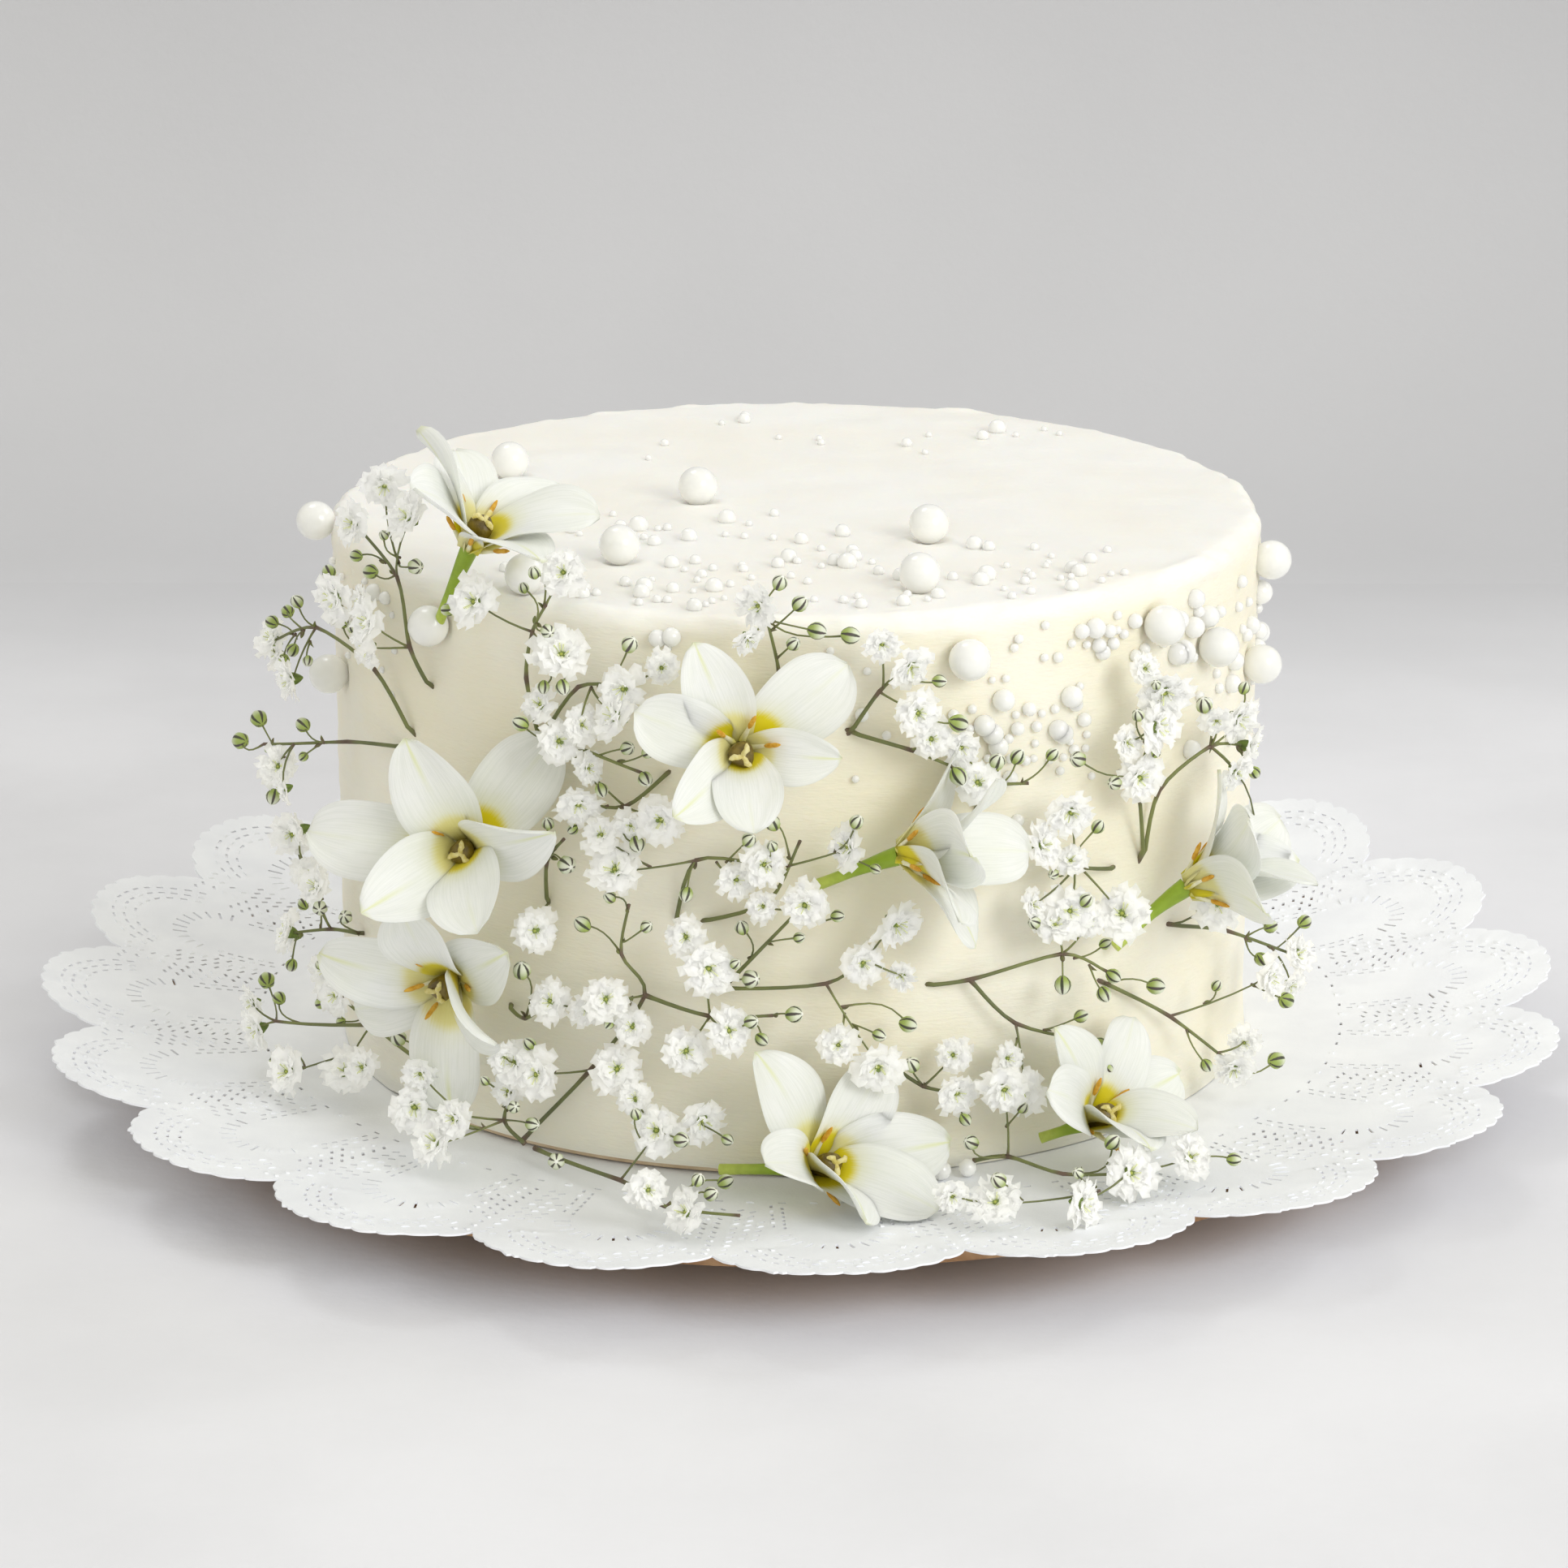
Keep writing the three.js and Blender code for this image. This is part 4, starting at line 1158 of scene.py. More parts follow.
def doily_tree():
    """Lobes round the middle, merged at their seams and lifted at the border."""
    tree, given, result = new_tree(
        "lobes round a middle", ("Lobes", "Int"), *[(label, "Float") for label in LIFT_SOCKETS])
    line = put(tree, "GeometryNodeMeshLine", {"Count": given["Lobes"], "Offset": (0, 0, 0)})
    count = tree.nodes.new("GeometryNodeInputIndex").outputs[0]
    turn = product(tree, count, sums(tree, "DIVIDE", math.tau, given["Lobes"]))
    euler = put(tree, "ShaderNodeCombineXYZ", {"Z": turn})
    rotation = put(tree, "FunctionNodeEulerToRotation", {"Euler": euler.outputs[0]})
    stand = put(tree, "GeometryNodeInstanceOnPoints", {
        "Points": line.outputs[0], "Instance": given["Geometry"],
        "Rotation": rotation.outputs[0]})
    real = put(tree, "GeometryNodeRealizeInstances", {"Geometry": stand.outputs[0]})
    merged = put(tree, "GeometryNodeMergeByDistance", {
        "Geometry": real.outputs[0], "Distance": SEAM_MERGE})
    lift = put(tree, "ShaderNodeCombineXYZ", {"Z": border_rise(tree, given)})
    raised = put(tree, "GeometryNodeSetPosition", {
        "Geometry": merged.outputs[0], "Offset": lift.outputs[0]})
    made_real(tree, raised.outputs[0], given["Finish"], result)
    return tree


# %% [markdown]
# Thin paper that was folded and unfolded never lies quite flat. Low creases are added to the
# corners, more towards the edge, and then the sheet gets its thickness. The finish is a dull
# cool white with a fine tooth.

# %% Doily mesh and finish
PAPER_THICK = 0.45
PAPER_CREASE = 40
CREASE_RISE = 0.7
CREASE_START = 112
CREASE_EASE = 30


def thickened(sheet):
    """A thin closed sheet from an open one, grown along its normals."""
    holder = placed("holder", sheet)
    wall = holder.modifiers.new("wall", "SOLIDIFY")
    wall.thickness = PAPER_THICK * MM
    wall.offset = 1
    made = plain_mesh(holder)
    made.shade_smooth()
    made.set_sharp_from_angle(angle=math.radians(PAPER_CREASE))
    return made


def doily_mesh(material):
    """The whole doily from its one lobe. The first lobe is turned to where the solid's is."""
    start = math.pi + math.radians(LOBE_LEAD)
    cos, sin = math.cos(start), math.sin(start)
    flat = bpy.data.meshes.new("lobe")
    flat.from_pydata(
        [((cos * x - sin * y) * MM, (sin * x + cos * y) * MM, (DOILY_FOOT + z) * MM)
         for x, y, z in lobe_corners], [], lobe_triangles)
    sheet = run_tree(flat, doily_tree(), {
        "Lobes": DOILY_LOBES, "Flat Radius": DOILY_FLAT_R * MM, "Tip Radius": DOILY_TIP_R * MM,
        "Lift": BORDER_LIFT * MM, "Lean": BORDER_LEAN * MM, "Wave": BORDER_WAVE * MM,
        "Phase": WAVE_PHASE, "Curve": LIFT_CURVE, "Finish": material})
    for corner in sheet.vertices:
        x, y, _ = corner.co / MM
        share = min(1.0, max(0.0, (math.hypot(x, y) - CREASE_START) / CREASE_EASE))
        crease = noise.noise((x / 16, y / 16, 3.0)) + 0.4 * noise.noise((x / 6, y / 6, 8.0))
        corner.co.z += CREASE_RISE * share * max(0.0, 0.5 + 0.5 * crease) * MM
    return thickened(sheet)


PAPER = two_tone("lace paper", 0.88, (246, 248, 252), (239, 241, 246), 60, 1500, 0.06,
                 coarse=1.2, Specular_IOR_Level=0.2)
show("lace_doily", doily_mesh(PAPER), "paper", "doily")

# %% [markdown]
# ## Thin sheets
# Petals are sheets a fraction of a millimetre thick. Each is drawn as a grid that runs out
# along a bending midline, is cupped across it and gets its own outline. The front and back
# share their rim, so the sheet is closed, and both carry marks for the veins and the blush.


# %% Petal builder
def sheet_faces(rows, columns):
    """Faces of a closed sheet whose front and back share their rim."""
    front = np.arange(rows * columns).reshape(rows, columns)
    back = front.copy()
    inner = (rows - 2) * (columns - 2)
    back[1:-1, 1:-1] = rows * columns + np.arange(inner).reshape(rows - 2, columns - 2)
    faces = []
    for i in range(rows - 1):
        for j in range(columns - 1):
            for grid, way in ((front, 1), (back, -1)):
                ring = (grid[i, j], grid[i + 1, j], grid[i + 1, j + 1], grid[i, j + 1])
                faces.append(tuple(int(v) for v in ring[::way]))
    return faces


def petal(plan, rows, columns):
    """Corners, faces and marks of a petal that runs along +X and faces +Z, in millimetres.

    plan holds: long, lean and curl in radians from +Z, wide (a function of the share along),
    cup, roll, wave, phase, thick and notch.
    """
    s = np.linspace(0, 1, rows)[:, None]
    t = np.linspace(-1, 1, columns)[None, :]
    lean, curl, long = plan["lean"], plan["curl"], plan["long"]
    angle = lean + curl * (2 * s - 1)
    chord = (lean - curl + angle) / 2
    notch = plan.get("notch", 0.0) * (1 - t ** 2) * s ** 6
    run = long * (s - notch)
    half = np.array([plan["wide"](v) for v in s[:, 0]])[:, None]
    roll = plan.get("roll", 0.0) * s
    lateral = half * t
    bow = plan["cup"] * half * t ** 2 * (1 - 0.4 * s)
    swell = np.sin(plan["phase"] + 7.5 * s + 2.2 * t)
    ripple = plan["wave"] * swell * t ** 2 * np.minimum(1, 2 * s)
    raised = bow + ripple
    side = lateral * np.cos(roll) - raised * np.sin(roll)
    front = lateral * np.sin(roll) + raised * np.cos(roll)
    x = plan["start"] + run * np.sin(chord) - front * np.cos(angle)
    z = run * np.cos(chord) + front * np.sin(angle)
    middle = np.stack([x, np.broadcast_to(side, x.shape), z], axis=-1)
    along_s = np.gradient(middle, axis=0)
    along_t = np.gradient(middle, axis=1)
    normal = np.cross(along_s, along_t)
    normal /= np.linalg.norm(normal, axis=2, keepdims=True) + 1e-9
    top = middle.copy()
    top[1:-1, 1:-1] += normal[1:-1, 1:-1] * plan["thick"] / 2
    low = (middle - normal * plan["thick"] / 2)[1:-1, 1:-1]
    corners = np.concatenate([top.reshape(-1, 3), low.reshape(-1, 3)])
    along, across = (np.concatenate([grid.ravel(), grid[1:-1, 1:-1].ravel()])
                     for grid in np.broadcast_arrays(s, t))
    return corners, sheet_faces(rows, columns), along, across


# %% [markdown]
# Ovaries, stamens, buds and stalks are round instead. A lathe turns a profile about +Z, and a
# tube carries a small circle along a path. Both are closed at their ends, because a hole
# there would show from the side.

# %% Round parts
def spun(corners, turn):
    """Corners turned about +Z."""
    cos, sin = math.cos(turn), math.sin(turn)
    x, y = corners[:, 0].copy(), corners[:, 1].copy()
    return np.stack([cos * x - sin * y, sin * x + cos * y, corners[:, 2]], axis=-1)


def closed_rings(corners, rings, sides):
    """Corners, faces and marks of a round part made of rings and closed at both ends."""
    faces = ring_faces(rings, sides)
    faces.append(tuple(reversed(range(sides))))
    faces.append(tuple(range((rings - 1) * sides, rings * sides)))
    along = np.repeat(np.arange(rings) / (rings - 1), sides)
    across = np.tile(np.arange(sides) / sides, rings)
    return np.array(corners), faces, along, across


def lathe_part(profile, sides, pull=lambda turn, share: 1):
    """A turned part along +Z from radius and height pairs. pull changes its radius by turn."""
    corners = []
    for k, (radius, height) in enumerate(profile):
        for i in range(sides):
            turn = math.tau * i / sides
            reach = radius * pull(turn, k / (len(profile) - 1))
            corners.append(tuple(Vector((
                reach * math.cos(turn), reach * math.sin(turn), height))))
    return closed_rings(corners, len(profile), sides)


def tube_part(points, radii, sides):
    """A round part along a path, its section carried from ring to ring without a twist."""
    corners = []
    first = None
    for k, point in enumerate(points):
        ahead = points[min(k + 1, len(points) - 1)] - points[max(k - 1, 0)]
        ahead.normalize()
        if first is None:
            first = ahead.orthogonal().normalized()
        else:
            first = (first - ahead * first.dot(ahead)).normalized()
        second = ahead.cross(first)
        for i in range(sides):
            turn = math.tau * i / sides
            out = (first * math.cos(turn) + second * math.sin(turn)) * radii[k]
            corners.append(tuple(point + out))
    return closed_rings(corners, len(points), sides)


# %% [markdown]
# ## White blossoms
# Each big blossom has six broad tepals, three outside and three inside, round a dark ovary
# with pale stigma lobes and six slim stamens. The plan of each is the one that its solid was
# drawn from, so the dressed blossom fills the same space. Every tepal is bent, cupped and
# rippled a little differently, and some roll, as real ones do when they dry.

# %% Blossom plans
# at and stem are places beside the cake, aim is where the blossom looks, first is the bearing
# of its first tepal, open is how far each tepal leans out, and swing turns each a little.
BLOSSOMS = [
    dict(name="rim", at=(-67, 127, 4), aim=(4, -4, 8), first=5, long=25,
         open=(69, 91, 47, 58, 49, 52), swing=(1, 0, -7, -14, 11, 7),
         reach=(1.02, 0.96, 1.01, 1.06, 1.05, 1.08), stem=(-79, 106, 3), stem_r=1.1),
    dict(name="upper_middle", at=(-10, 93, 9), aim=(1, -10, 1), first=43, long=25,
         open=(86, 86, 73, 51, 34, 77), swing=(-5, 9, -7, -9, -8, 14),
         reach=(1.11, 1.0, 0.93, 0.94, 0.9, 0.84), stem=(-10, 90, 1), stem_r=0.95),
    dict(name="left", at=(-64, 66, 10), aim=(-1.5, -9, 1.5), first=55, long=31,
         open=(84, 69, 84, 48, 28, 55), swing=(-2, -2, 1, -22, 9, 24),
         reach=(1.0, 0.89, 0.99, 0.91, 0.92, 1.01), stem=(-62, 62, 1), stem_r=0.95),
    dict(name="left_below", at=(-71, 36, 7), aim=(-4, -9, -1), first=37, long=27,
         open=(63, 62, 72, 92, 75, 54), swing=(-2, -2, 12, -14, -4, 12),
         reach=(0.99, 0.96, 1.03, 0.84, 1.04, 0.94), stem=(-69, 34, 1), stem_r=0.95),
    dict(name="sideways", at=(19, 71, 10), aim=(8, -3.5, 3), first=45, long=26,
         open=(62, 31, 36, 59, 72, 52), swing=(4, -3, 14, -8, -2, -11),
         reach=(1.02, 1.1, 1.08, 0.93, 0.92, 1.04), stem=(4, 63, 3), stem_r=1.15),
    dict(name="right", at=(83, 53, 9), aim=(8, -1, 4), first=75, long=27,
         open=(50, 49, 53, 29, 34, 48), swing=(0, 4, -1, -1, 12, -13),
         reach=(0.96, 1.02, 0.99, 0.94, 1.01, 0.98), stem=(69, 42, 3), stem_r=1.2),
    dict(name="foot_middle", at=(3, 6.5, 12), aim=(7, -7, 4), first=-10, long=26,
         open=(59, 74, 85, 70, 32, 45), swing=(3, -4, -2, -4, -2, 15),
         reach=(1.16, 0.91, 1.08, 1.02, 0.99, 1.12), stem=(-14, 4, 8), stem_r=1.1),
    dict(name="foot_right", at=(57, 9, 11), aim=(6.5, -7, 6), first=-5, long=25,
         open=(76, 77, 61, 65, 28, 34), swing=(12, -6, 2, -17, 0, 6),
         reach=(1.01, 0.91, 0.96, 1.05, 1.0, 1.02), stem=(50, 5, 5), stem_r=1.1),
]
print(len(BLOSSOMS), "blossoms")

# %% [markdown]
# A white tepal isn't plain white. Fine veins run up it, its midrib is greenish towards the
# tip, and its claw is yellow, in a ragged wedge. The pale yellow-green halo round the wedge is
# partly the tepal's own tint and partly painted light passing through it, and the throat is a
# deeper yellow with painted shade over it. The marks of the petal's corners say where each of
# these goes, so the finish follows every bend. Light passes through thin tissue, so these
# finishes let some of it travel under the surface.

# %% Finishes of the tepals
YELLOW_GREEN = (214, 221, 140)


def vein_height(tree):
    """Fine long veins from the marks of a petal."""
    across = product(tree, mark(tree, "across"), 7.0)
    along = product(tree, mark(tree, "along"), 0.9)
    where = put(tree, "ShaderNodeCombineXYZ", {"X": across, "Y": along}).outputs[0]
    return put(tree, "ShaderNodeTexNoise", {
        "Vector": where, "Scale": 3.2, "Detail": 5.0, "Roughness": 0.6}).outputs[0]


def wedge(tree, veins, start, end):
    """1 at the claw of a tepal and 0 up the blade, ending in a ragged wedge."""
    along, aside = mark(tree, "along"), sums(tree, "ABSOLUTE", mark(tree, "across"))
    ragged = product(tree, sums(tree, "SUBTRACT", veins, 0.5), 0.1)
    reach = sums(tree, "ADD", sums(tree, "ADD", along, ragged),
                 product(tree, sums(tree, "POWER", aside, 2.0), 0.16))
    return sums(tree, "SUBTRACT", 1.0, between(tree, reach, start, end))


def tepal_finish(name, patch, rib):
    """patch is how strong the yellow is at the base, and rib how green the midrib is."""
    material, tree, shader = finish(
        name, 0.42, Subsurface_Weight=0.5, Subsurface_Scale=0.002,
        Subsurface_Radius=(1.0, 1.0, 0.85), Specular_IOR_Level=0.35, Sheen_Weight=0.1)
    along, across = mark(tree, "along"), mark(tree, "across")
    aside = sums(tree, "ABSOLUTE", across)
    veins = vein_height(tree)
    white = blend(tree, between(tree, veins, 0.34, 0.64), (229, 232, 227), (238, 240, 236))
    white = blend(tree, product(tree, mottled(tree, 90), 0.35), white, (224, 228, 212))
    middle = sums(tree, "SUBTRACT", 1.0, between(tree, aside, 0.0, 0.14))
    midrib = product(tree, middle, between(tree, along, 0.5, 0.95))
    green = blend(tree, product(tree, midrib, rib), white, YELLOW_GREEN)
    tip = product(tree, between(tree, along, 0.95, 1.0), rib)
    tipped = blend(tree, tip, green, YELLOW_GREEN)
    # Partly painted light: the pale yellow-green halo round the claw is the tepal's own tint
    # and light passing through it.
    glow = product(tree, wedge(tree, veins, 0.2, 0.55), 0.3 + 0.3 * patch)
    glowing = blend(tree, glow, tipped, (230, 230, 150))
    bright = product(tree, wedge(tree, veins, 0.3, 0.4), patch)
    yellow = blend(tree, bright, glowing, (221, 204, 20))
    # Partly painted shade: the throat is a deeper yellow, darkened further where the tepals
    # close round the heart.
    throat = product(tree, wedge(tree, veins, 0.06, 0.2), 0.75)
    tinted(tree, shader, blend(tree, throat, yellow, (170, 158, 30)))
    bumped(tree, shader, veins, 0.16, 0.35)
    return material


# %% Finishes of a blossom's small parts
def plain_finish(name, first, second, scale, roughness, depth=0.05):
    """A soft two-tone finish, for small parts of plants."""
    return two_tone(name, roughness, first, second, scale, scale * 4, depth)


def graded_finish(name, low, high, start, end, roughness, **constants):
    """A finish that changes along the part, by its mark."""
    material, tree, shader = finish(name, roughness, **constants)
    share = between(tree, mark(tree, "along"), start, end)
    tint = blend(tree, share, low, high)
    patches = product(tree, mottled(tree, 500), 0.25)
    tinted(tree, shader, blend(tree, patches, tint, darker(low, 0.72)))
    relieved(tree, shader, 1500, 0.05)
    return material


OUTER_TEPAL = tepal_finish("outer tepal", 0.5, 0.6)
INNER_TEPAL = tepal_finish("inner tepal", 1.0, 0.15)
OVARY = plain_finish("ovary", (84, 68, 18), (122, 104, 36), 520, 0.38, 0.12)
STIGMA = plain_finish("stigma", (214, 198, 112), (238, 228, 170), 900, 0.75, 0.3)
FILAMENT = graded_finish("filament", (222, 216, 110), (246, 243, 214), 0.0, 0.6, 0.5)
ANTHER = plain_finish("anther", (206, 146, 30), (232, 184, 74), 900, 0.8, 0.15)
PEDICEL = graded_finish("pedicel", (148, 176, 40), (196, 210, 96), 0.3, 1.0, 0.4,
                        Subsurface_Weight=0.2, Subsurface_Scale=0.002,
                        Subsurface_Radius=(0.8, 1.0, 0.3))
BLOSSOM_FINISHES = [OUTER_TEPAL, OVARY, STIGMA, FILAMENT, ANTHER, PEDICEL, INNER_TEPAL]
(OUTER_SLOT, OVARY_SLOT, STIGMA_SLOT, FILAMENT_SLOT, ANTHER_SLOT, PEDICEL_SLOT,
 INNER_SLOT) = range(len(BLOSSOM_FINISHES))

# %% [markdown]
# In the middle stands a ribbed ovary with three pale arms over it, and six stamens lean out
# round it, each a tapering filament with a swollen anther. All are lathed or drawn as tubes
# along a path in the blossom's own axes, then turned on to its seat beside the cake.

# %% The heart of a blossom
OVARY_PROFILE = [(0.9, -1.0), (1.5, 0.2), (1.9, 2.0), (2.25, 3.8), (2.55, 5.4), (2.5, 6.5),
                 (1.9, 7.3), (0.9, 7.7)]
OVARY_RIB = 0.12
STIGMA_LIFTS = (0.25, 0.0, -0.2)
STIGMA_ARM = ((0.9, 0.1, 7.9), (1.6, -0.1, 8.2), (2.2, 0.2, 8.0), (2.6, 0.4, 7.5))
STIGMA_RADII = [0.55, 0.5, 0.62, 0.5, 0.2]
STAMEN_LONG = 8
STAMEN_LEANS = (0.95, 0.7, 0.9, 0.75, 1.0, 0.8)
FILAMENT_RADII = [0.8, 0.66, 0.48, 0.34, 0.24]
ANTHER_RADII = [0.2, 0.44, 0.52, 0.46, 0.5, 0.4, 0.15]


def blossom_axes(aim):
    """Right, above and front of a blossom, as columns."""
    front = Vector(aim).normalized()
    right = Vector((0, 0, 1)).cross(front).normalized()
    above = front.cross(right)
    return np.array([right, above, front]).T


def seated(seat, base, turn=0.0):
    """A move for corners: turned about the blossom's axis, then on to its seat."""
    return lambda corners: spun(corners, turn) @ seat.T + base


def heart_parts(parts, plan, seat, base):
    """Ovary, stigma arms, filaments and anthers."""
    lead = math.radians(plan["first"] + 20)

    def lobes(turn, share):
        return 1 + OVARY_RIB * math.cos(3 * turn - 3 * lead) * share

    parts.add_part(lathe_part(OVARY_PROFILE, 18, lobes), OVARY_SLOT, seated(seat, base))
    for i, lift in enumerate(STIGMA_LIFTS):
        path = [Vector((0.2, 0, 7.3))] + [Vector((x, y, z + lift)) for x, y, z in STIGMA_ARM]
        parts.add_part(tube_part(path, STIGMA_RADII, 8), STIGMA_SLOT,
                       seated(seat, base, lead + math.tau * i / 3))
    for i, lean in enumerate(STAMEN_LEANS):
        move = seated(seat, base, math.radians(plan["first"] + 60 * i + 30))
        foot = Vector((2.0, 0, 0.8))
        tip = foot + Vector((lean, 0.05 * (i % 3 - 1), 1)).normalized() * STAMEN_LONG
        path = [foot.lerp(tip, k / 6) + Vector((0.35 * math.sin(math.pi * k / 6), 0, 0))
                for k in range(5)]
        parts.add_part(tube_part(path, FILAMENT_RADII, 8), FILAMENT_SLOT, move)
        start, end = foot.lerp(tip, 0.5), foot.lerp(tip, 1.08)
        path = [start.lerp(end, k / 6) + Vector((0.25, 0, 0)) for k in range(7)]
        parts.add_part(tube_part(path, ANTHER_RADII, 8), ANTHER_SLOT, move)


# %% [markdown]
# Each tepal is one petal sheet. The plan opens and turns it, and a few draws make it a little
# longer or shorter and ripple its edge. The stalk leaves the blossom along its back and bends
# towards the place where it meets the cake.

# %% Outline of a tepal
OUTER_HALF = 0.315
INNER_HALF = 0.29
WIDEST_HALF = 8.3
ROUND_END = (0.6, 2.5)
POINTED_END = (0.52, 1.9)


def tepal_width(half, widest, point):
    """Half the width along a tepal: a claw, a broad blade and a rounder or sharper end."""
    def wide(share):
        if share < widest:
            return half * (0.4 + 0.6 * math.sin(math.pi / 2 * share / widest) ** 1.1)
        beyond = (share - widest) / (1 - widest)
        return half * max(0.04, (1 - beyond ** point) ** 0.62)
    return wide


# %% Stalk of a blossom
STALK_STEPS = 8
STALK_BOW = 0.3
STALK_SWELL = (1.75, 1.5, 1.25, 1.1, 1.0, 1.0, 1.0, 1.02, 1.06)


def stalk_path(plan):
    """Points from the blossom's back to its place at the cake."""
    start, end = beside(plan["at"]), beside(plan["stem"])
    back = -Vector(plan["aim"]).normalized()
    reach = (end - start).length
    path = []
    for k in range(STALK_STEPS + 1):
        share = k / STALK_STEPS
        bend = back * (STALK_BOW * reach * share * (1 - share) ** 2 * 2)
        path.append(start.lerp(end, share) + bend)
    return path


# %% Building a blossom
# ROLLS names the tepals that roll up as they dry. PATCHED is 0 where the broad yellow is on
# the outer tepals and not on the inner ones.
TEPAL_CURL = 24
INNER_CLOSE = 9
LONG_LEAST = 0.94
LONG_SPREAD = 0.12
TEPAL_WAVE = 2.4
TEPAL_ROWS = 23
TEPAL_COLUMNS = 15
TEPAL_THICK = 0.5
ROLLS = {"left": {5: 1.0}, "left_below": {5: 0.9}, "rim": {2: 1.1}, "sideways": {0: 0.7},
         "foot_middle": {3: 0.8}}
PATCHED = {"left": 0, "upper_middle": 0}


def blossom_mesh(plan, seed):
    """One blossom with its heart and stalk."""
    draw = seeded(seed)
    shapes = [(plan["long"] * plan["reach"][i] * (LONG_LEAST + LONG_SPREAD * draw()),
               TEPAL_WAVE * (draw() - 0.5)) for i in range(6)]
    base = np.array(beside(plan["at"]))
    seat = blossom_axes(plan["aim"])
    parts = Parts()
    for i, (long, wave) in enumerate(shapes):
        inner = i % 2
        patched = inner == PATCHED.get(plan["name"], 1)
        half = min(WIDEST_HALF, long * (INNER_HALF if inner else OUTER_HALF))
        shape = dict(
            long=long, lean=math.radians(plan["open"][i] - INNER_CLOSE * inner),
            curl=math.radians(TEPAL_CURL), cup=0.3 if inner else 0.24,
            wide=tepal_width(half, *(ROUND_END if patched else POINTED_END)),
            roll=ROLLS.get(plan["name"], {}).get(i, 0.12 * wave),
            wave=0.5 + 0.4 * draw(), phase=math.tau * draw(), thick=TEPAL_THICK, start=0.9,
        )
        bearing = math.radians(plan["first"] + 60 * i + plan["swing"][i])
        parts.add_part(petal(shape, TEPAL_ROWS, TEPAL_COLUMNS),
                       INNER_SLOT if patched else OUTER_SLOT, seated(seat, base, bearing))
    heart_parts(parts, plan, seat, base)
    radii = [plan["stem_r"] * swell for swell in STALK_SWELL]
    parts.add_part(tube_part(stalk_path(plan), radii, 12), PEDICEL_SLOT)
    return parts.mesh("blossom_" + plan["name"] + "_fresh", BLOSSOM_FINISHES, crease=60)


for i, plan in enumerate(BLOSSOMS):
    mesh = blossom_mesh(plan, 101 + i)
    show(mesh.name, mesh, "tepal", "blossom_" + plan["name"])

# %% [markdown]
# ## Fine sprigs
# The sprigs branch like fine twigs: thin dark stems, small double flowers like ruffled
# rosettes, and round striped buds on hair-fine stalks. The layout rule is the one that made
# the solids: each flower and bud hangs on the nearest older stem, by a shoot that leaves it
# at a slant. More buds are then drawn on the shoots, as fine as the real ones.

